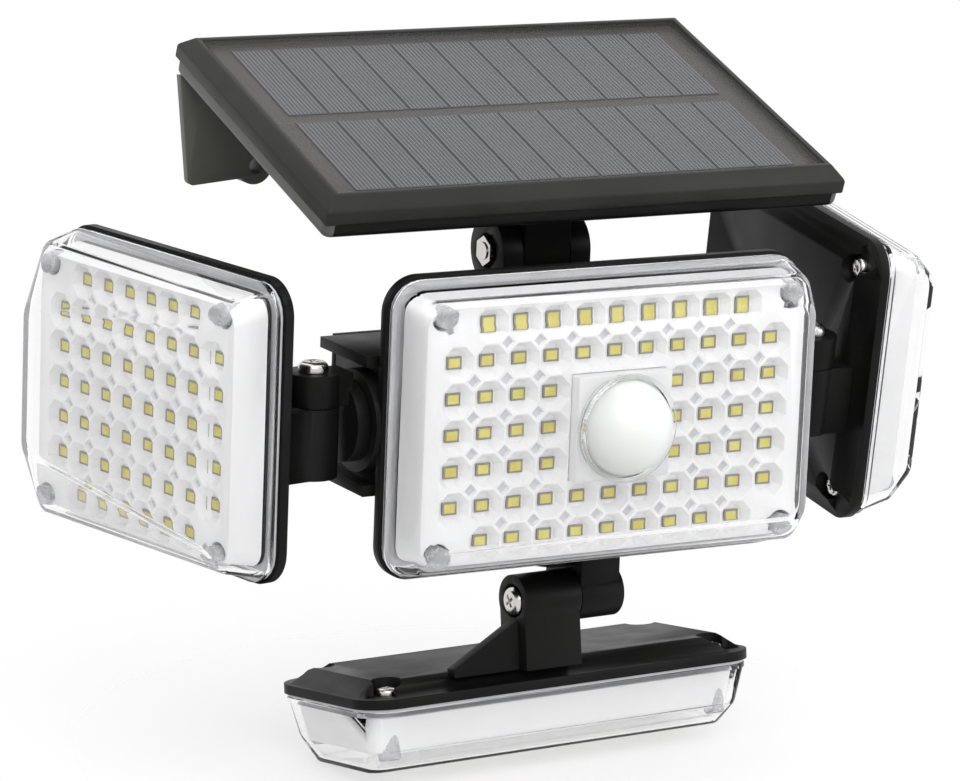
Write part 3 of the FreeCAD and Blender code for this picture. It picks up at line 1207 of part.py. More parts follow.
def build_low_head(lamp):
    """The low head's cover with the left half of the low knuckle, its block and gusset."""
    back_y = size("rim_front") + size("rim_thick") + size("shoulder_deep")
    spot = Vector(0, size("drop_deep"), size("drop_side"))
    left_end = -size("drop_left")
    seam = size("drop_seam")
    radius = size("knuckle_r")
    barrel = Part.makeCylinder(radius, seam - left_end, Vector(left_end, spot.y, spot.z), X)
    foot = Part.makeBox(seam - left_end, spot.y - back_y + 1, 2 * radius - 1.6,
                        Vector(left_end, back_y - 1, spot.z - radius + 0.4))
    thick = size("gusset_thick")
    long = size("gusset_long")
    high = (spot.y - back_y) * 0.75
    corners = [Vector(left_end + 1, back_y - 1, spot.z - thick / 2),
               Vector(left_end - long, back_y - 1, spot.z - thick / 2),
               Vector(left_end - long, back_y + 1.0, spot.z - thick / 2),
               Vector(left_end + 1, back_y + high, spot.z - thick / 2)]
    gusset = Part.Face(Part.makePolygon(corners + [corners[0]])).extrude(Z * thick)
    shell, back_y = cover_shape(lamp, barrel.fuse(foot).fuse(gusset))
    bolt_head_seat = Part.makeCylinder(size("bolt_head_r") + 0.5, 20,
                                       Vector(left_end + 1.2, spot.y, spot.z), X * -1)
    hole = Part.makeCylinder(size("bolt_r") + 0.02, 60, spot - X * 30, X)
    shell = shell.cut(hole).cut(bolt_head_seat)
    part = shaped(lamp.name + "_cover_shape", shell.removeSplitter())
    finish(part, lamp.name + "_back_cover", lamp.placement)

    seat_at = Vector(left_end + 1.2, spot.y, spot.z)
    end = size("drop_right") - 0.6
    shank = Part.makeCylinder(size("bolt_r"), end - seat_at.x, seat_at, X)
    head = Part.makeCylinder(size("bolt_head_r"), size("bolt_head"), seat_at, X * -1)
    for a, b in ((1, 0), (0, 1)):
        slot = Part.makeBox(2, 0.9 if a else 4, 4 if a else 0.9,
                            Vector(seat_at.x - size("bolt_head") - 1,
                                   spot.y - (0.45 if a else 2), spot.z - (2 if a else 0.45)))
        head = head.cut(slot)
    finish(shaped("low_knuckle_screw_shape", shank.fuse(head)), "low_knuckle_screw",
           lamp.placement)
    nut = hex_nut(Vector(size("drop_right") - size("nut_thick"), spot.y, spot.z), X,
                  size("nut_flat"), size("nut_thick"), size("bolt_r") + 0.02)
    finish(shaped("low_knuckle_nut_shape", nut), "low_knuckle_nut", lamp.placement)


low_turn = Rotation(Z, size("low_turn"))
low_axis = Vector(0, size("drop_back"), 0)
low_arm_place = turned_about(low_axis, low_turn)
low_knuckle = Vector(0, size("drop_knuckle_back"), -size("drop_high"))
in_low = Vector(0, size("drop_deep"), size("drop_side"))
low_place = low_arm_place.multiply(Placement(low_knuckle, Rotation(X, size("low_pitch")))).multiply(
    Placement(in_low * -1, Rotation()))
low = Lamp("low", "front_columns", "low_rows", low_place)
build_low_arm(low_arm_place)
build_inner(low)
build_low_head(low)

# ---------------------------------------------------------------- checks and export

doc.recompute()
failed = [o.Name for o in doc.Objects if "Invalid" in o.State or "Error" in o.State]
if failed:
    raise RuntimeError("failed features: " + ", ".join(failed))
for part in SUB_PARTS:
    if part.Shape.isNull() or not part.Shape.isValid():
        raise RuntimeError("bad shape: " + part.Label)

os.makedirs("parts", exist_ok=True)
for part in SUB_PARTS:
    part.Shape.exportStep(os.path.join("parts", part.Label + ".step"))
    print(part.Label, len(part.Shape.Solids), round(part.Shape.Volume, 1))
print(len(SUB_PARTS), "nodes")
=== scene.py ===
import bpy
import math
from mathutils import Matrix, Vector


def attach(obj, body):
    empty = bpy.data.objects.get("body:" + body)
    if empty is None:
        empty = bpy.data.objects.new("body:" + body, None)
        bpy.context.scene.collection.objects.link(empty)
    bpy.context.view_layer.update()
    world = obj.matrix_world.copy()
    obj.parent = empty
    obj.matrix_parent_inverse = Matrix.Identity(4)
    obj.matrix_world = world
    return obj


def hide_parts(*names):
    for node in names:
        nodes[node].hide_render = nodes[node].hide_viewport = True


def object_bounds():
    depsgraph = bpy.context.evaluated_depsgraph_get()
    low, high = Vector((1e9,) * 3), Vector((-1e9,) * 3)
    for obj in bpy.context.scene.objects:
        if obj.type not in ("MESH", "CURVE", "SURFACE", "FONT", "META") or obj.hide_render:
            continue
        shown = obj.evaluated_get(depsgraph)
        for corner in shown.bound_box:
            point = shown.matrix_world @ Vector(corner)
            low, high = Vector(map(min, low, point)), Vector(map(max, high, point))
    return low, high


# A solar wall light with a motion sensor and four lamp heads. Every piece is made in
# millimetres in its own lamp's frame, x across, y back, z up, with zero at the middle of the
# lamp's chips, and is then set into the light. The moulded shells come from their solids.

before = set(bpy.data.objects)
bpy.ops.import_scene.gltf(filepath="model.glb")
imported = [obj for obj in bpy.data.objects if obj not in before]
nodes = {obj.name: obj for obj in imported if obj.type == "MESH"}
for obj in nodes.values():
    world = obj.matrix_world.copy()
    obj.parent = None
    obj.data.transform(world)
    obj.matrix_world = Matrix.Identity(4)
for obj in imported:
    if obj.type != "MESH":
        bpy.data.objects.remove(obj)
cad_low, cad_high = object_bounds()


# ------------------------------------------------------------------ where things stand

def shift(x, y, z):
    return Matrix.Translation((x, y, z))


def turn(degrees, axis):
    return Matrix.Rotation(math.radians(degrees), 4, axis)


TO_METRES = Matrix.Scale(0.001, 4)

# Where a head's knuckle stands, seen from the middle of the head's chips.
KNUCKLE_OUT, KNUCKLE_BACK = 32.2, 22.4
LOW_KNUCKLE_BACK, LOW_KNUCKLE_UP = 28.3, 18

# Where the knuckles and the low arm's pivot stand in the front lamp's frame.
SIDE_REACH, SIDE_BACK = 63.3, 20
LOW_PIVOT_BACK = 24.5

HOUSING = shift(0, -95.0, -43.9)
PANEL = HOUSING @ shift(0, 14.4, 51.6) @ turn(18.3, "X")
LEFT_HEAD = (HOUSING @ shift(-SIDE_REACH, SIDE_BACK, 0) @ turn(-79.7, "Z")
             @ shift(-KNUCKLE_OUT, -KNUCKLE_BACK, 0))
RIGHT_HEAD = (HOUSING @ shift(SIDE_REACH, SIDE_BACK, 0) @ turn(6.1, "X") @ turn(86.7, "Z")
              @ shift(KNUCKLE_OUT, -KNUCKLE_BACK, 0))
LOW_ARM = HOUSING @ shift(0, LOW_PIVOT_BACK, 0) @ turn(3.3, "Z") @ shift(0, -LOW_PIVOT_BACK, 0)
LOW_HEAD = (LOW_ARM @ shift(0, 20, -44.5) @ turn(81.4, "X")
            @ shift(0, -LOW_KNUCKLE_BACK, -LOW_KNUCKLE_UP))

# ------------------------------------------------------------------ the maker's hands


def nothing_chosen():
    if bpy.context.mode != "OBJECT":
        bpy.ops.object.mode_set(mode="OBJECT")
    bpy.ops.object.select_all(action="DESELECT")


def only(piece):
    nothing_chosen()
    piece.select_set(True)
    bpy.context.view_layer.objects.active = piece


def fix_place(piece):
    """Put a piece's place, turn and size into its mesh."""
    only(piece)
    bpy.ops.object.transform_apply(location=True, rotation=True, scale=True)


def started(name):
    """Name the primitive that was just added, with its place in its mesh."""
    piece = bpy.context.active_object
    piece.name = name
    fix_place(piece)
    return piece


def block(name, low, high):
    nothing_chosen()
    middle = [(a + b) / 2 for a, b in zip(low, high)]
    sizes = [b - a for a, b in zip(low, high)]
    bpy.ops.mesh.primitive_cube_add(size=1, location=middle, scale=sizes)
    return started(name)


def rod(name, radius, foot, top, sides=32, top_radius=None):
    """A round bar, or a taper, from one point to another."""
    nothing_chosen()
    foot, top = Vector(foot), Vector(top)
    way = (top - foot).to_track_quat("Z", "Y").to_euler()
    bpy.ops.mesh.primitive_cone_add(
        vertices=sides, radius1=radius, radius2=radius if top_radius is None else top_radius,
        depth=(top - foot).length, location=(foot + top) / 2, rotation=way)
    return started(name)


def edit(piece, kind):
    """Into edit mode with nothing chosen, picking VERT, EDGE or FACE."""
    only(piece)
    bpy.ops.object.mode_set(mode="EDIT")
    bpy.ops.mesh.select_mode(type=kind)
    bpy.ops.mesh.select_all(action="DESELECT")
    bpy.ops.object.mode_set(mode="OBJECT")


def choose_faces(piece, test):
    edit(piece, "FACE")
    for face in piece.data.polygons:
        face.select = test(face.center, face.normal)
    bpy.ops.object.mode_set(mode="EDIT")


def choose_edges(piece, test):
    edit(piece, "EDGE")
    points = [v.co for v in piece.data.vertices]
    for edge in piece.data.edges:
        edge.select = test(points[edge.vertices[0]], points[edge.vertices[1]])
    bpy.ops.object.mode_set(mode="EDIT")


def choose_points(piece, test):
    edit(piece, "VERT")
    for point in piece.data.vertices:
        point.select = test(point.co)
    bpy.ops.object.mode_set(mode="EDIT")


def done():
    bpy.ops.object.mode_set(mode="OBJECT")


def along(axis):
    """Edges that run along x, y or z."""
    def test(a, b):
        run = b - a
        return abs(run[axis]) > 0.999 * run.length
    return test


def rounded(piece, axis, radius, segments=5):
    """Round the corners of a block whose edges run along an axis."""
    choose_edges(piece, along(axis))
    bpy.ops.mesh.bevel(offset=radius, offset_type="OFFSET", segments=segments, affect="EDGES")
    done()


def applied(piece, kind, **values):
    """Add a modifier, set it and apply it."""
    only(piece)
    modifier = piece.modifiers.new(kind.lower(), kind)
    for key, value in values.items():
        setattr(modifier, key, value)
    bpy.ops.object.modifier_apply(modifier=modifier.name)
    return piece


def soft_edges(piece, width, segments=2, angle=35):
    return applied(piece, "BEVEL", width=width, segments=segments, limit_method="ANGLE",
                   angle_limit=math.radians(angle), use_clamp_overlap=True)


def carved(piece, cutter):
    """Cut the cutter out of the piece, then throw the cutter away."""
    applied(piece, "BOOLEAN", object=cutter, operation="DIFFERENCE", solver="EXACT")
    bpy.data.objects.remove(cutter)
    return piece


def joined(name, pieces):
    nothing_chosen()
    for piece in pieces:
        piece.select_set(True)
    bpy.context.view_layer.objects.active = pieces[0]
    if len(pieces) > 1:
        bpy.ops.object.join()
    whole = bpy.context.active_object
    whole.name = name
    return whole


def copied(piece, place):
    """A copy with its own mesh, moved by a matrix or to a spot."""
    twin = piece.copy()
    twin.data = piece.data.copy()
    bpy.context.scene.collection.objects.link(twin)
    twin.data.transform(place if isinstance(place, Matrix) else shift(*place))
    return twin


def repeated(name, piece, places):
    """Copies of one piece at many places, in one mesh."""
    twins = [copied(piece, place) for place in places]
    bpy.data.objects.remove(piece)
    return joined(name, twins)


def outward(piece):
    """Merge doubled points and turn every face outwards."""
    edit(piece, "VERT")
    bpy.ops.object.mode_set(mode="EDIT")
    bpy.ops.mesh.select_all(action="SELECT")
    bpy.ops.mesh.remove_doubles(threshold=0.0005)
    bpy.ops.mesh.normals_make_consistent(inside=False)
    done()


def set_in(piece, place, body, material=None, stands_for=(), smooth=35):
    """Finish a piece made in millimetres: smooth it, give it its finish, set it in place."""
    only(piece)
    if smooth:
        bpy.ops.object.shade_smooth_by_angle(angle=math.radians(smooth))
    if material:
        piece.data.materials.clear()
        piece.data.materials.append(material)
    piece.data.transform(TO_METRES @ place)
    piece.data.update()
    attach(piece, body)
    if stands_for:
        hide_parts(*stands_for)
    return piece


# ------------------------------------------------------------------ finishes

def finish(name, colour, roughness, metallic=0.0, **sockets):
    """A material with its plain numbers on the shader's own sockets."""
    material = bpy.data.materials.new(name)
    material.use_nodes = True
    shader = material.node_tree.nodes["Principled BSDF"]
    shader.inputs["Base Color"].default_value = (*colour, 1)
    shader.inputs["Roughness"].default_value = roughness
    shader.inputs["Metallic"].default_value = metallic
    for socket, value in sockets.items():
        shader.inputs[socket.replace("_", " ")].default_value = value
    return material


def parts_of(material):
    tree = material.node_tree
    return tree, tree.nodes["Principled BSDF"]


def noise(tree, scale, detail=2.0, stretch=(1, 1, 1)):
    """A noise on the piece's own place, in turns per metre."""
    place = tree.nodes.new("ShaderNodeTexCoord")
    mapping = tree.nodes.new("ShaderNodeMapping")
    mapping.inputs["Scale"].default_value = stretch
    texture = tree.nodes.new("ShaderNodeTexNoise")
    texture.inputs["Scale"].default_value = scale
    texture.inputs["Detail"].default_value = detail
    tree.links.new(place.outputs["Object"], mapping.inputs["Vector"])
    tree.links.new(mapping.outputs["Vector"], texture.inputs["Vector"])
    return texture.outputs["Fac"]


def grained(material, scale, strength, deep=0.0001, edge=0.0, **kind):
    """A fine bump over the surface, with the edges a little worn round."""
    tree, shader = parts_of(material)
    bump = tree.nodes.new("ShaderNodeBump")
    bump.inputs["Strength"].default_value = strength
    bump.inputs["Distance"].default_value = deep
    tree.links.new(noise(tree, scale, **kind), bump.inputs["Height"])
    if edge:
        soft = tree.nodes.new("ShaderNodeBevel")
        soft.samples = 4
        soft.inputs["Radius"].default_value = edge
        tree.links.new(soft.outputs["Normal"], bump.inputs["Normal"])
    tree.links.new(bump.outputs["Normal"], shader.inputs["Normal"])


def mottled(material, dark, light, scale, socket="Base Color", **kind):
    """Drift between two colours, or two roughnesses, over the surface."""
    tree, shader = parts_of(material)
    ramp = tree.nodes.new("ShaderNodeValToRGB")
    ramp.color_ramp.elements[0].position = 0.35
    ramp.color_ramp.elements[1].position = 0.65
    wide = [(v, v, v, 1) if isinstance(v, float) else (*v, 1) for v in (dark, light)]
    ramp.color_ramp.elements[0].color = wide[0]
    ramp.color_ramp.elements[1].color = wide[1]
    tree.links.new(noise(tree, scale, **kind), ramp.inputs["Fac"])
    tree.links.new(ramp.outputs["Color"], shader.inputs[socket])


satin_black = finish("satin_black_moulding", (0.006, 0.006, 0.006), 0.4,
                     Specular_IOR_Level=0.1)
mottled(satin_black, (0.005, 0.005, 0.005), (0.0075, 0.0075, 0.007), 60)
mottled(satin_black, 0.36, 0.45, 90, "Roughness", detail=4.0)
grained(satin_black, 5200, 0.16, 0.00006, edge=0.00025, detail=3.0)

frame_black = finish("frame_black", (0.016, 0.016, 0.015), 0.42, Specular_IOR_Level=0.2)
mottled(frame_black, (0.014, 0.014, 0.013), (0.018, 0.018, 0.017), 60)
mottled(frame_black, 0.38, 0.47, 90, "Roughness", detail=4.0)
grained(frame_black, 5200, 0.16, 0.00006, edge=0.00025, detail=3.0)

cover_grey = finish("cover_grey", (0.085, 0.085, 0.078), 0.45)
mottled(cover_grey, (0.078, 0.078, 0.072), (0.093, 0.093, 0.086), 55)
mottled(cover_grey, 0.41, 0.5, 110, "Roughness", detail=4.0)
grained(cover_grey, 4600, 0.18, 0.00007, edge=0.0003, detail=3.0)

bracket_black = finish("bracket_black", (0.11, 0.11, 0.098), 0.5)
mottled(bracket_black, (0.10, 0.10, 0.089), (0.12, 0.12, 0.107), 45)
mottled(bracket_black, 0.46, 0.56, 120, "Roughness", detail=4.0)
grained(bracket_black, 3800, 0.2, 0.00008, edge=0.0003, detail=3.0)

clear_lens = finish("clear_lens", (1.0, 1.0, 1.0), 0.0, Transmission_Weight=1.0, IOR=1.3)
grained(clear_lens, 35, 0.03, 0.0002)

lens_post = finish("lens_post", (0.92, 0.93, 0.95), 0.2, Transmission_Weight=0.55, IOR=1.3)
mottled(lens_post, 0.15, 0.3, 700, "Roughness")
grained(lens_post, 900, 0.06, 0.00005)

white_tray = finish("white_tray", (0.95, 0.95, 0.96), 0.35)
mottled(white_tray, (0.94, 0.94, 0.95), (0.96, 0.96, 0.97), 70)
grained(white_tray, 2600, 0.05, 0.00004)

# Painted shade: the floors of the small hollows between the cups are given a grey in place of the
# shade in these recesses; the tray is all one white.
hollow_painted_shade = finish("hollow_painted_shade", (0.66, 0.66, 0.68), 0.4)
mottled(hollow_painted_shade, (0.64, 0.64, 0.66), (0.69, 0.69, 0.71), 120)
grained(hollow_painted_shade, 2600, 0.05, 0.00004)

white_board = finish("white_board", (0.74, 0.74, 0.72), 0.5)
mottled(white_board, (0.72, 0.72, 0.70), (0.77, 0.77, 0.75), 90)
grained(white_board, 3000, 0.08, 0.00004)

# Painted shade: the chips' pale bodies are given a dark grey so that their rims read as sides in
# shadow.
chip_body_painted_shade = finish("chip_body_painted_shade", (0.27, 0.26, 0.22), 0.4)
mottled(chip_body_painted_shade, (0.25, 0.24, 0.20), (0.30, 0.29, 0.25), 400)
grained(chip_body_painted_shade, 6000, 0.05, 0.00003)

chip_phosphor = finish("chip_phosphor", (0.72, 0.64, 0.15), 0.4)
mottled(chip_phosphor, (0.68, 0.58, 0.12), (0.76, 0.70, 0.20), 260, detail=3.0)
grained(chip_phosphor, 9000, 0.1, 0.00003)

bright_steel = finish("bright_steel", (0.62, 0.61, 0.59), 0.2, 1.0)
mottled(bright_steel, 0.16, 0.28, 900, "Roughness", detail=4.0)
grained(bright_steel, 2500, 0.05, 0.00003, edge=0.0001)

pale_rubber = finish("pale_rubber", (0.6, 0.6, 0.62), 0.6)
mottled(pale_rubber, (0.57, 0.57, 0.59), (0.64, 0.64, 0.66), 150)
grained(pale_rubber, 4000, 0.2, 0.00005)

milky_dome = finish("milky_dome", (0.90, 0.90, 0.88), 0.3, Subsurface_Weight=0.2,
                    Subsurface_Scale=0.002)
mottled(milky_dome, (0.78, 0.79, 0.77), (0.81, 0.82, 0.80), 120)
grained(milky_dome, 300, 0.05, 0.0001)

seat_white = finish("seat_white", (0.93, 0.93, 0.94), 0.32)
mottled(seat_white, (0.92, 0.92, 0.93), (0.94, 0.94, 0.95), 90)
grained(seat_white, 2600, 0.05, 0.00004, edge=0.0003)

cell_blue = finish("cell_blue", (0.034, 0.036, 0.044), 0.4, Specular_IOR_Level=0.25)
mottled(cell_blue, (0.029, 0.031, 0.038), (0.039, 0.041, 0.051), 220, detail=5.0)
grained(cell_blue, 1500, 0.05, 0.00003)

backing_brown = finish("backing_brown", (0.034, 0.031, 0.026), 0.45,
                       Specular_IOR_Level=0.25)
mottled(backing_brown, (0.031, 0.028, 0.023), (0.038, 0.034, 0.028), 60)
grained(backing_brown, 2200, 0.08, 0.00004)

silver_line = finish("silver_line", (0.22, 0.22, 0.24), 0.45, 0.3)
mottled(silver_line, 0.35, 0.5, 800, "Roughness")
grained(silver_line, 3000, 0.05, 0.00002)

panel_glass = finish("panel_glass", (0.2, 0.2, 0.2), 0.15, Alpha=0.1, IOR=1.35)
grained(panel_glass, 1400, 0.06, 0.00005)

green_board = finish("green_board", (0.03, 0.16, 0.07), 0.4)
mottled(green_board, (0.025, 0.14, 0.06), (0.04, 0.19, 0.085), 200)
grained(green_board, 2400, 0.1, 0.00004)

sensor_steel = finish("sensor_steel", (0.55, 0.55, 0.55), 0.3, 1.0)
mottled(sensor_steel, 0.25, 0.38, 700, "Roughness")
grained(sensor_steel, 900, 0.06, 0.00004, stretch=(1, 8, 1))

cell_wrap = finish("cell_wrap", (0.04, 0.16, 0.42), 0.3)
mottled(cell_wrap, (0.035, 0.14, 0.38), (0.05, 0.19, 0.47), 80)
grained(cell_wrap, 500, 0.1, 0.00005)

# ------------------------------------------------------------------ the moulded shells


def softened(node, place_body, material, width=0.25, segments=2):
    """A moulded piece made from its plain solid: merged, its flats cleaned and its edges
    given a small round."""
    body = nodes[node]
    shell = body.copy()
    shell.data = body.data.copy()
    for key in list(shell.keys()):
        del shell[key]
    bpy.context.scene.collection.objects.link(shell)
    shell.parent = None
    shell.name = node + "_moulding"
    shell.data.transform(Matrix.Scale(1000, 4))
    edit(shell, "VERT")
    bpy.ops.object.mode_set(mode="EDIT")
    bpy.ops.mesh.select_all(action="SELECT")
    bpy.ops.mesh.remove_doubles(threshold=0.002)
    bpy.ops.mesh.dissolve_limited(angle_limit=math.radians(1.0))
    done()
    soft_edges(shell, width, segments, 40)
    return set_in(shell, Matrix.Identity(4), place_body, material, (node,), 40)


for node, body in (("main_housing", "housing"), ("left_back_cover", "left_head"),
                   ("right_back_cover", "right_head"), ("low_back_cover", "low_head"),
                   ("left_arm", "left_arm"), ("right_arm", "right_arm"), ("low_arm", "low_arm"),
                   ("rear_cover", "housing"), ("mode_button", "button")):
    softened(node, body, satin_black)
softened("panel_frame", "panel", frame_black, 0.4, 3)

# The cover is grey. Its hinge lug is black, and so is the wall under the panel's front edge,
# whose faces have their middles within the same span. These are in metres.
LUG_TOP, LUG_MIDDLE, LUG_HALF = 0.001, -0.0023, 0.0062
cover = softened("panel_back_cover", "panel", cover_grey)
cover.data.materials.append(satin_black)
for face in cover.data.polygons:
    if face.center.z < LUG_TOP and abs(face.center.x - LUG_MIDDLE) < LUG_HALF:
        face.material_index = 1

softened("wall_bracket", "panel", bracket_black)
softened("sensor_seat", "housing", seat_white)

# ------------------------------------------------------------------ one lamp's inside


PITCH = 8.0          # from one chip to the next
SIDE_RIM = 12.3      # from the last chips to the rim's outer edge, across
END_RIM = 9.6        # the same, up
POST_IN = 8.8        # the lens's screw posts, in from the rim's edge, across
POST_DOWN = 7.3      # the same, up


class Lamp:
    """A lamp's sizes, its place and the body it moves with. A side head's lens is lower at its
    far end, on the side that far gives; only the front lamp has a window for the sensor."""

    def __init__(self, name, columns, rows, place, body, far=0, window=False):
        self.name, self.columns, self.rows = name, columns, rows
        self.place, self.body, self.far, self.window = place, body, far, window
        self.half = (columns - 1) * PITCH / 2 + SIDE_RIM
        self.half_tall = (rows - 1) * PITCH / 2 + END_RIM

    def chips(self):
        for r in range(self.rows):
            for c in range(self.columns):
                x, z = c - (self.columns - 1) / 2, r - (self.rows - 1) / 2
                corner = c in (0, self.columns - 1) and r in (0, self.rows - 1)
                if not corner and not (self.window and abs(x) <= 1 and abs(z) <= 1):
                    yield x * PITCH, z * PITCH

    def posts(self):
        for side in (-1, 1):
            for up in (-1, 1):
                yield side * (self.half - POST_IN), up * (self.half_tall - POST_DOWN)


LAMPS = (
    Lamp("front", 11, 7, HOUSING, "housing", window=True),
    Lamp("left", 8, 7, LEFT_HEAD, "left_head", far=-1),
    Lamp("right", 8, 7, RIGHT_HEAD, "right_head", far=1),
    Lamp("low", 11, 4, LOW_HEAD, "low_head"),
)


TRAY_IN_SIDE, TRAY_IN_END, TRAY_ROUND = 5.0, 5.7, 4.0
CUP_WIDE, CUP_NARROW, CUP_FLOOR = 4.24, 2.7, 0.5
HOLLOW_WIDE, HOLLOW_NARROW, HOLLOW_DEEP = 1.7, 1.35, 0.9
WINDOW_HALF = 11.85


def make_tray(lamp):
    """The white tray: a rounded plate with an eight-sided cup round each chip and a small
    four-sided hollow between each four cups, and a skirt that flares back to the rim."""
    wide, tall = lamp.half - TRAY_IN_SIDE, lamp.half_tall - TRAY_IN_END
    face = -1.5 if lamp.far else -2.0
    plate = block(lamp.name + "_tray", (-wide, face, -tall), (wide, 0.76, tall))
    rounded(plate, 1, TRAY_ROUND)
    cups = []
    for x, z in lamp.chips():
        cup = rod("cup", CUP_WIDE, (x, face - 0.2, z), (x, CUP_FLOOR, z), 8, CUP_NARROW)
        middle = sum((v.co for v in cup.data.vertices), Vector()) / len(cup.data.vertices)
        cup.data.transform(Matrix.Translation(middle) @ turn(22.5, "Y")
                           @ Matrix.Translation(-middle))
        cups.append(cup)
    places = set(lamp.chips())
    hollows = []
    for x, z in places:
        near = {(x + PITCH, z), (x, z + PITCH), (x + PITCH, z + PITCH)}
        if near <= places:
            across, up = x + PITCH / 2, z + PITCH / 2
            hollows.append(rod("hollow", HOLLOW_WIDE, (across, face - 0.3, up),
                               (across, face + HOLLOW_DEEP, up), 4, HOLLOW_NARROW))
    holes = [rod("hole", 3.1, (x, -3, z), (x, 3, z), 24) for x, z in lamp.posts()]
    if lamp.window:
        carved(plate, block("window", (-WINDOW_HALF, -3, -WINDOW_HALF),
                            (WINDOW_HALF, 3, WINDOW_HALF)))
    carved(plate, joined("holes", holes))
    carved(plate, joined("cups", cups))
    carved(plate, joined("hollows", hollows))
    soft_edges(plate, 0.12, 2, 30)
    plate.data.materials.clear()
    plate.data.materials.append(white_tray)
    plate.data.materials.append(hollow_painted_shade)
    # The hollows' floors take the grey of painted shade.
    for side in plate.data.polygons:
        if side.normal.y < -0.9 and abs(side.center.y - face - HOLLOW_DEEP) < 0.1:
            side.material_index = 1
    skirt = flared(lamp.name + "_skirt", wide, tall, TRAY_ROUND,
                   ((face, 0), (face + 1.0, 0.25), (6.2, 1.5)), 0.8)
    skirt.data.materials.append(white_tray)
    tray = joined(lamp.name + "_cup_tray", [plate, skirt])
    set_in(tray, lamp.place, lamp.body, None, (lamp.name + "_reflector",), 30)


def flared(name, wide, tall, corner, steps, wall):
    """An open shell through rounded outlines: each step is a place in y and a growth."""
    nothing_chosen()
    y, grow = steps[0]
    bpy.ops.mesh.primitive_plane_add(size=2, location=(0, y, 0),
                                     rotation=(math.radians(90), 0, 0))
    bpy.context.active_object.scale = (wide + grow, tall + grow, 1)
    shell = started(name)
    choose_points(shell, lambda point: True)
    bpy.ops.mesh.bevel(offset=corner, offset_type="OFFSET", segments=6, affect="VERTICES")
    bpy.ops.mesh.select_all(action="SELECT")
    for (y0, grow0), (y1, grow1) in zip(steps, steps[1:]):
        bpy.ops.mesh.extrude_region_move(TRANSFORM_OT_translate={"value": (0, y1 - y0, 0)})
        bpy.ops.transform.resize(value=((wide + grow1) / (wide + grow0), 1,
                                        (tall + grow1) / (tall + grow0)),
                                 center_override=(0, y1, 0))
    bpy.ops.mesh.delete(type="ONLY_FACE")
    done()
    choose_faces(shell, lambda middle, way: abs(way.y) > 0.99)
    bpy.ops.mesh.delete(type="ONLY_FACE")
    done()
    outward(shell)
    applied(shell, "SOLIDIFY", thickness=wall, offset=-1)
    return shell


CHIP_HALF, CHIP_HALF_UP, CHIP_HIGH = 1.75, 1.4, 0.8
CHIP_RIM, CHIP_SUNK = 0.4, 0.07
TERMINAL_AT, TERMINAL_HALF, TERMINAL_HALF_UP = 1.62, 0.2, 0.95


def make_chips(lamp):
    """The light chips: a body painted grey for the shade on its sides, with its terminals and a
    yellow face set in its rim.
    """
    body = block("chip", (-CHIP_HALF, 0.0, -CHIP_HALF_UP), (CHIP_HALF, CHIP_HIGH, CHIP_HALF_UP))
    choose_faces(body, lambda middle, way: way.y < -0.9)
    bpy.ops.mesh.inset(thickness=CHIP_RIM)
    bpy.ops.mesh.extrude_region_move(TRANSFORM_OT_translate={"value": (0, CHIP_SUNK, 0)})
    done()
    body.data.materials.clear()
    body.data.materials.append(chip_body_painted_shade)
    body.data.materials.append(chip_phosphor)
    body.data.materials.append(bright_steel)
    for face in body.data.polygons:
        if face.normal.y < -0.9 and face.center.y > 0.03:
            face.material_index = 1
    ends = []
    for side in (-1, 1):
        end = block("terminal", (side * TERMINAL_AT - TERMINAL_HALF, 0.5, -TERMINAL_HALF_UP),
                    (side * TERMINAL_AT + TERMINAL_HALF, 0.79, TERMINAL_HALF_UP))
        for material in (chip_body_painted_shade, chip_phosphor, bright_steel):
            end.data.materials.append(material)
        for face in end.data.polygons:
            face.material_index = 2
        ends.append(end)
    chip = joined("chip_whole", [body] + ends)
    chips = repeated(lamp.name + "_light_chips", chip, [(x, 0, z) for x, z in lamp.chips()])
    set_in(chips, lamp.place, lamp.body, None, (lamp.name + "_chips",), 0)


def through_outlines(name, outlines, corner, far=0, narrow=0.0):
    """A closed solid through rounded outlines square to y: each is (y, half across, half up).
    The first outline is narrower by narrow at its far end."""
    y, wide, tall = outlines[0]
    nothing_chosen()
    bpy.ops.mesh.primitive_plane_add(size=2, location=(0, y, 0),
                                     rotation=(math.radians(90), 0, 0))
    bpy.context.active_object.scale = (wide, tall, 1)
    solid = started(name)
    if narrow:
        choose_points(solid, lambda point: point.x * far > 0)
        bpy.ops.transform.resize(value=(1, 1, (tall - narrow) / tall), center_override=(0, y, 0))
        done()
    choose_points(solid, lambda point: True)
    bpy.ops.mesh.bevel(offset=corner, offset_type="OFFSET", segments=5, affect="VERTICES")
    done()
    for next_y, next_wide, next_tall in outlines[1:]:
        choose_faces(solid, lambda middle, way: abs(middle.y - y) < 0.001)
        bpy.ops.mesh.extrude_region_move(TRANSFORM_OT_translate={"value": (0, next_y - y, 0)})
        bpy.ops.transform.resize(value=(next_wide / wide, 1, next_tall / tall),
                                 center_override=(0, next_y, 0))
        done()
        if narrow:
            choose_points(solid, lambda point: abs(point.y - next_y) < 0.001
                          and point.x * far > 0)
            bpy.ops.transform.resize(value=(1, 1, tall / (tall - narrow)),
                                     center_override=(0, next_y, 0))
            done()
            narrow = 0.0
        y, wide, tall = next_y, next_wide, next_tall
    outward(solid)
    return solid


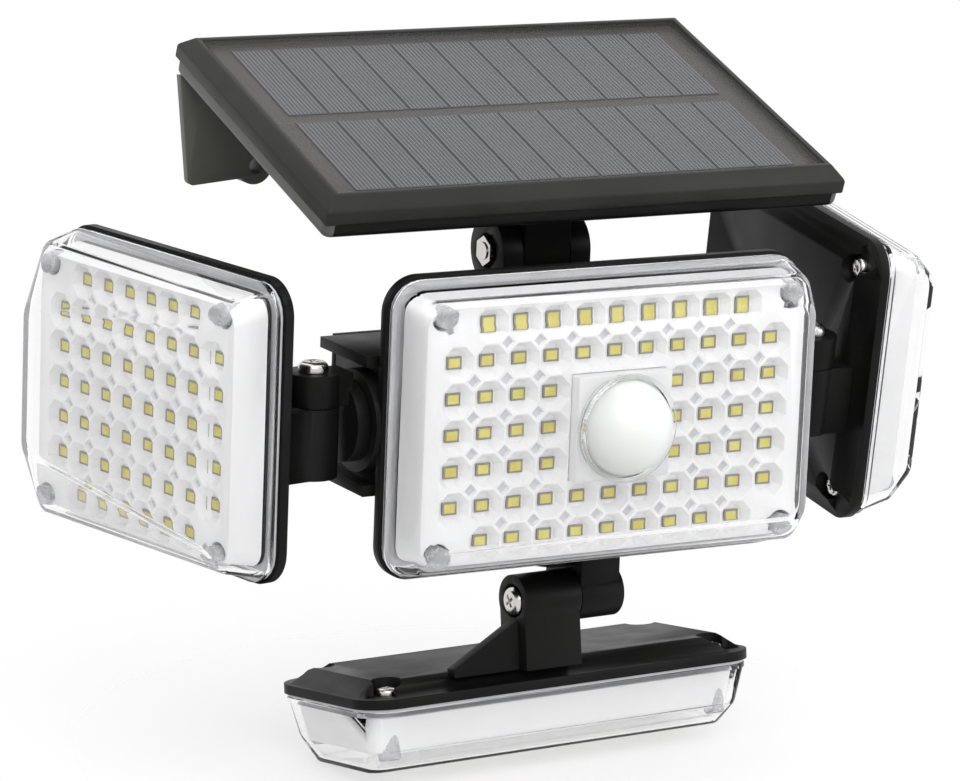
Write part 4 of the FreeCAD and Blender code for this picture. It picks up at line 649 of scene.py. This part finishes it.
# The lens's outside and inside. Each step is a place in y, then how far in from the rim's edge
# the wall stands there, across and up.
LENS_OUTSIDE = ((-7.0, 5.0, 8.8), (-1.6, 3.3, 3.3), (6.4, 1.7, 1.7), (7.59, 1.6, 1.6))
LENS_INSIDE = ((-5.8, 6.2, 10.0), (-1.2, 4.5, 4.5), (6.4, 2.9, 2.9), (9.0, 2.6, 2.6))
LENS_ROUND, LENS_INNER_ROUND = 3.4, 2.8
FAR_END_LOWER = 7.6
EYE_RADIUS, EYE_RING = 11.1, 1.0
POST_RADIUS, POST_TIP, BORE_RADIUS = 2.5, 2.3, 1.22


def make_lens(lamp):
    """The clear lens: a flat face, a wide bevel, leaning walls, a flange on the rim and four
    paler screw posts. The front one has a ringed eye for the sensor's dome."""
    half, tall = lamp.half, lamp.half_tall
    narrow = FAR_END_LOWER if lamp.far else 0.0
    outside = [(y, half - across, tall - up) for y, across, up in LENS_OUTSIDE]
    lens = through_outlines(lamp.name + "_clear_lens", outside, LENS_ROUND, lamp.far, narrow)
    soft_edges(lens, 0.8, 4, 18)
    flange = block("flange", (0.6 - half, 6.4, 0.6 - tall), (half - 0.6, 7.6, tall - 0.6))
    rounded(flange, 1, 7.4, 8)
    soft_edges(flange, 0.2, 2)
    applied(lens, "BOOLEAN", object=flange, operation="UNION", solver="EXACT")
    bpy.data.objects.remove(flange)
    hollow = [(y, half - across, tall - up) for y, across, up in LENS_INSIDE]
    inside = through_outlines("inside", hollow, LENS_INNER_ROUND, lamp.far, narrow)
    soft_edges(inside, 0.5, 3, 18)
    carved(lens, inside)
    if lamp.window:
        carved(lens, rod("eye", EYE_RADIUS, (0, -12, 0), (0, 4, 0), 64))
        ring = rod("eye_ring", EYE_RADIUS + EYE_RING, (0, -7.7, 0), (0, -6.9, 0), 64)
        carved(soft_edges(ring, 0.3, 3), rod("eye", EYE_RADIUS, (0, -12, 0), (0, 4, 0), 64))
        lens = joined(lens.name, [lens, ring])
    lens.data.materials.clear()
    lens.data.materials.append(clear_lens)
    posts = []
    for x, z in lamp.posts():
        post = rod("post", POST_RADIUS, (x, 8.3, z), (x, -3.6, z), 32, POST_TIP)
        bore = rod("bore", BORE_RADIUS, (x, 9, z), (x, 3.0, z), 20)
        carved(soft_edges(post, 0.4, 3), bore)
        post.data.materials.clear()
        post.data.materials.append(lens_post)
        posts.append(post)
    lens = joined(lamp.name + "_clear_lens", [lens] + posts)
    set_in(lens, lamp.place, lamp.body, None, (lamp.name + "_lens",), 30)


RING_IN, RING_WIDE, RING_FRONT, RING_BACK = 0.9, 3.2, 7.62, 8.38


def make_seal(lamp):
    """The flat soft ring between the lens's flange and the rim."""
    wide, tall = lamp.half - RING_IN, lamp.half_tall - RING_IN
    ring = block(lamp.name + "_rubber_ring", (-wide, RING_FRONT, -tall), (wide, RING_BACK, tall))
    rounded(ring, 1, 6.8)
    inner = block("inner", (-wide + RING_WIDE, 5, -tall + RING_WIDE),
                  (wide - RING_WIDE, 12, tall - RING_WIDE))
    rounded(inner, 1, 4.0)
    carved(ring, inner)
    soft_edges(ring, 0.15)
    set_in(ring, lamp.place, lamp.body, pale_rubber, (lamp.name + "_seal",))


def make_pan_screw(name, radius, high, shank_radius, shank):
    """A screw along z with its seat at zero: domed head above, cross recess, shank below."""
    crown, reach, wide = high * 0.62, radius * 0.62, radius * 0.2
    head = rod("head", radius, (0, 0, 0), (0, 0, high), 40)
    choose_edges(head, lambda a, b: min(a.z, b.z) > high - 0.01)
    bpy.ops.mesh.bevel(offset=crown, offset_type="OFFSET", segments=5, affect="EDGES")
    done()
    cross = []
    for turned in (0, 90):
        arm = block("cross", (-reach, -wide / 2, high - crown), (reach, wide / 2, high + 1))
        choose_faces(arm, lambda middle, way: way.z < -0.9)
        bpy.ops.transform.resize(value=(0.35, 0.7, 1))
        done()
        arm.data.transform(turn(turned, "Z"))
        cross.append(arm)
    carved(carved(head, cross[0]), cross[1])
    soft_edges(head, 0.05, 1, 40)
    stem = rod("stem", shank_radius, (0, 0, -shank), (0, 0, 0.05), 20)
    return joined(name, [head, stem])


def facing(spot, way, spin=0.0):
    """A matrix that sets a piece made along z at a spot, looking a way."""
    turned = Vector(way).to_track_quat("Z", "Y").to_matrix().to_4x4()
    return shift(*spot) @ turned @ turn(spin, "Z")


def make_lens_screws(lamp):
    screw = make_pan_screw("lens_screw", 2.5, 1.6, 1.2, 6.6)
    places = [facing((x, 10.6, z), (0, 1, 0), 17 + 31 * i)
              for i, (x, z) in enumerate(lamp.posts())]
    screws = repeated(lamp.name + "_cover_screws", screw, places)
    set_in(screws, lamp.place, lamp.body, bright_steel,
           (lamp.name + "_lens_screws",), 40)


for lamp in LAMPS:
    make_tray(lamp)
    make_chips(lamp)
    make_lens(lamp)
    make_seal(lamp)
    make_lens_screws(lamp)

# ------------------------------------------------------------------ the sensor

DOME_RADIUS, DOME_BASE, DOME_WALL = 10.8, -5.05, 0.8
FOOT_RADIUS, FOOT_HOLE, FOOT_THICK = 11.6, 10.5, 0.6


def make_dome():
    """The milky dome: a hollow half ball on a flat foot ring."""
    nothing_chosen()
    bpy.ops.mesh.primitive_uv_sphere_add(segments=64, ring_count=40, radius=DOME_RADIUS,
                                         location=(0, DOME_BASE, 0),
                                         rotation=(math.radians(90), 0, 0))
    dome = started("sensor_milky_dome")
    choose_points(dome, lambda point: True)
    bpy.ops.mesh.bisect(plane_co=(0, DOME_BASE, 0), plane_no=(0, 1, 0), clear_outer=True,
                        use_fill=False)
    done()
    applied(dome, "SOLIDIFY", thickness=DOME_WALL, offset=-1)
    foot = rod("foot_ring", FOOT_RADIUS, (0, DOME_BASE - FOOT_THICK, 0), (0, DOME_BASE, 0), 64)
    carved(foot, rod("middle", FOOT_HOLE, (0, -9, 0), (0, 0, 0), 64))
    soft_edges(foot, 0.12, 2)
    dome = joined("sensor_milky_dome", [dome, foot])
    set_in(dome, HOUSING, "housing", milky_dome, ("sensor_dome",), 50)


make_dome()

# ------------------------------------------------------------------ screws and nuts

SCREW_HEAD, SCREW_HIGH, SCREW_SHANK = 3.3, 2.2, 1.5
SIDE_SHANK_LONG, LOW_SHANK_LONG = 22, 24.2


def make_fixings():
    """The pan head screws of the three knuckles."""
    for name, place, side in (("left", LEFT_HEAD, 1), ("right", RIGHT_HEAD, -1)):
        screw = make_pan_screw("screw", SCREW_HEAD, SCREW_HIGH, SCREW_SHANK, SIDE_SHANK_LONG)
        screw = repeated(name + "_knuckle_pan_screw", screw,
                         [facing((side * KNUCKLE_OUT, KNUCKLE_BACK, 11.6), (0, 0, 1), 24)])
        set_in(screw, place, name + "_head", bright_steel,
               (name + "_knuckle_screw",), 40)
    screw = make_pan_screw("screw", SCREW_HEAD, SCREW_HIGH, SCREW_SHANK, LOW_SHANK_LONG)
    screw = repeated("low_knuckle_pan_screw", screw,
                     [facing((-10.8, LOW_KNUCKLE_BACK, LOW_KNUCKLE_UP), (-1, 0, 0), 30)])
    set_in(screw, LOW_HEAD, "low_head", bright_steel, ("low_knuckle_screw",), 40)


make_fixings()

# ------------------------------------------------------------------ the panel's face

PANEL_WIDE, PANEL_DEEP = 123, 71.3
CELL_BORDER, CELL_BORDER_END, ROW_GAP, STRIP_GAP = 6, 3, 3.6, 0.5
STRIPS, LINES = 11, 10


def make_panel_face():
    """Glass, the brown backing under it and the fine silver lines on the cells."""
    glass = block("panel_clear_glass", (-61.3, 0.15, -1.5), (61.3, 71.15, -0.25))
    soft_edges(glass, 0.25, 2)
    set_in(glass, PANEL, "panel", panel_glass, ("panel_glass",))
    sheet = block("panel_backing", (-61.3, 0.1, -1.895), (61.3, 71.2, -1.85))
    soft_edges(sheet, 0.01, 1)
    set_in(sheet, PANEL, "panel", backing_brown)

    strips_wide = PANEL_WIDE - 2 * CELL_BORDER
    cell_wide = (strips_wide - (STRIPS - 1) * STRIP_GAP) / STRIPS
    cell_deep = (PANEL_DEEP - 2 * CELL_BORDER_END - ROW_GAP) / 2
    line = block("silver_lines", (-0.09, 0.3, -1.6), (0.09, cell_deep - 0.3, -1.585))
    line.data.transform(shift(-PANEL_WIDE / 2 + CELL_BORDER + cell_wide / LINES / 2,
                              CELL_BORDER_END, 0))
    for count, step in ((LINES, (cell_wide / LINES, 0, 0)), (STRIPS, (cell_wide + STRIP_GAP, 0, 0)),
                        (2, (0, cell_deep + ROW_GAP, 0))):
        applied(line, "ARRAY", count=count, use_relative_offset=False, use_constant_offset=True,
                constant_offset_displace=step)
    set_in(line, PANEL, "panel", silver_line)


make_panel_face()

# ------------------------------------------------------------------ finishes of the rest

LOOKS = {
    "solar_cells": cell_blue, "control_board": green_board, "battery": cell_wrap,
    "motion_sensor": sensor_steel,
}
for node, piece in nodes.items():
    if node in LOOKS:
        look = LOOKS[node]
    elif node.endswith("_chip_board"):
        look = white_board
    elif "screw" in node or "bolt" in node or "nut" in node or "washer" in node:
        look = bright_steel
    else:
        look = satin_black
    if not piece.hide_render:
        for i in range(len(piece.data.materials)):
            piece.data.materials[i] = look
        if not piece.data.materials:
            piece.data.materials.append(look)

# ------------------------------------------------------------------ floor, light and camera

AIM = (0, -0.07, -0.05)

# The camera's spot in metres, its turn, tilt and roll in degrees, and its lens in millimetres.
CAMERA_SPOT = (-0.52812, -0.96582, 0.19197)
CAMERA_TURN, CAMERA_TILT, CAMERA_ROLL = 29.606, 12.742, 2.320
CAMERA_LENS = 179.62


def make_floor():
    """A pale round floor that fades out into the white ground of the view."""
    nothing_chosen()
    bpy.ops.mesh.primitive_circle_add(vertices=96, radius=1.6, fill_type="NGON",
                                      location=(0, -0.06, cad_low.z - 0.0005))
    floor = started("pale_floor")
    white = bpy.data.materials.new("pale_floor")
    white.use_nodes = True
    tree, shader = parts_of(white)
    shader.inputs["Base Color"].default_value = (0.93, 0.93, 0.93, 1)
    shader.inputs["Roughness"].default_value = 0.8
    shader.inputs["Specular IOR Level"].default_value = 0.1
    output = tree.nodes["Material Output"]
    clear = tree.nodes.new("ShaderNodeBsdfTransparent")
    mix = tree.nodes.new("ShaderNodeMixShader")
    place = tree.nodes.new("ShaderNodeTexCoord")
    apart = tree.nodes.new("ShaderNodeVectorMath")
    apart.operation = "DISTANCE"
    apart.inputs[1].default_value = (0, -0.06, cad_low.z)
    fade = tree.nodes.new("ShaderNodeMapRange")
    fade.inputs["From Min"].default_value = 0.05
    fade.inputs["From Max"].default_value = 0.20
    fade.inputs["To Min"].default_value = 0.6
    tree.links.new(place.outputs["Object"], apart.inputs[0])
    tree.links.new(apart.outputs["Value"], fade.inputs["Value"])
    tree.links.new(fade.outputs["Result"], mix.inputs["Fac"])
    tree.links.new(shader.outputs["BSDF"], mix.inputs[1])
    tree.links.new(clear.outputs["BSDF"], mix.inputs[2])
    tree.links.new(mix.outputs["Shader"], output.inputs["Surface"])
    floor.data.materials.append(white)


def make_sky():
    """An even sky, white where the camera sees it straight, mirrored or through a lens, and
    dimmer for the light that it gives."""
    world = bpy.data.worlds.new("studio")
    bpy.context.scene.world = world
    world.use_nodes = True
    tree = world.node_tree
    plain = tree.nodes["Background"]
    plain.inputs["Color"].default_value = (1, 1, 1, 1)
    plain.inputs["Strength"].default_value = 0.78
    seen = tree.nodes.new("ShaderNodeBackground")
    seen.inputs["Color"].default_value = (1, 1, 1, 1)
    seen.inputs["Strength"].default_value = 1.0
    rays = tree.nodes.new("ShaderNodeLightPath")
    straight = tree.nodes.new("ShaderNodeMath")
    straight.operation = "MAXIMUM"
    bent = tree.nodes.new("ShaderNodeMath")
    bent.operation = "MAXIMUM"
    mix = tree.nodes.new("ShaderNodeMixShader")
    tree.links.new(rays.outputs["Is Camera Ray"], straight.inputs[0])
    tree.links.new(rays.outputs["Is Glossy Ray"], straight.inputs[1])
    tree.links.new(straight.outputs[0], bent.inputs[0])
    tree.links.new(rays.outputs["Is Transmission Ray"], bent.inputs[1])
    tree.links.new(bent.outputs[0], mix.inputs["Fac"])
    tree.links.new(plain.outputs["Background"], mix.inputs[1])
    tree.links.new(seen.outputs["Background"], mix.inputs[2])
    tree.links.new(mix.outputs["Shader"], tree.nodes["World Output"].inputs["Surface"])


def make_lamp(name, spot, size, power):
    """A square soft light at a spot, aimed at the middle of the object."""
    nothing_chosen()
    bpy.ops.object.light_add(type="AREA", location=spot)
    light = bpy.context.active_object
    light.name = name
    light.data.shape = "SQUARE"
    light.data.size = size
    light.data.energy = power
    way = Vector(AIM) - Vector(spot)
    light.rotation_euler = way.to_track_quat("-Z", "Y").to_euler()


def make_camera():
    """The camera stands where the photograph's did, worked out from the grid of chips."""
    across, up, roll = (math.radians(v) for v in (CAMERA_TURN, CAMERA_TILT, CAMERA_ROLL))
    ahead = Vector((math.sin(across) * math.cos(up), math.cos(across) * math.cos(up),
                    -math.sin(up)))
    level = Vector((math.cos(across), -math.sin(across), 0))
    above = level.cross(ahead)
    right = math.cos(roll) * level + math.sin(roll) * above
    top = -math.sin(roll) * level + math.cos(roll) * above
    camera = bpy.data.objects.new("photo_camera", bpy.data.cameras.new("photo_camera"))
    bpy.context.scene.collection.objects.link(camera)
    camera.data.sensor_width = 36
    camera.data.lens = CAMERA_LENS
    camera.data.clip_start = 0.05
    camera.data.clip_end = 20
    turned = Matrix((right, top, -ahead)).transposed().to_4x4()
    camera.matrix_world = shift(*CAMERA_SPOT) @ turned
    bpy.context.scene.camera = camera


make_floor()
make_sky()
make_lamp("key_light", (-0.3, -1.06, 0.9), 0.9, 7.2)
make_lamp("fill_light", (0.9, -0.7, 0.4), 0.9, 4)
make_lamp("top_light", (0.0, 0.1, 1.1), 2.4, 10)
make_camera()
bpy.context.scene.view_settings.view_transform = "Standard"
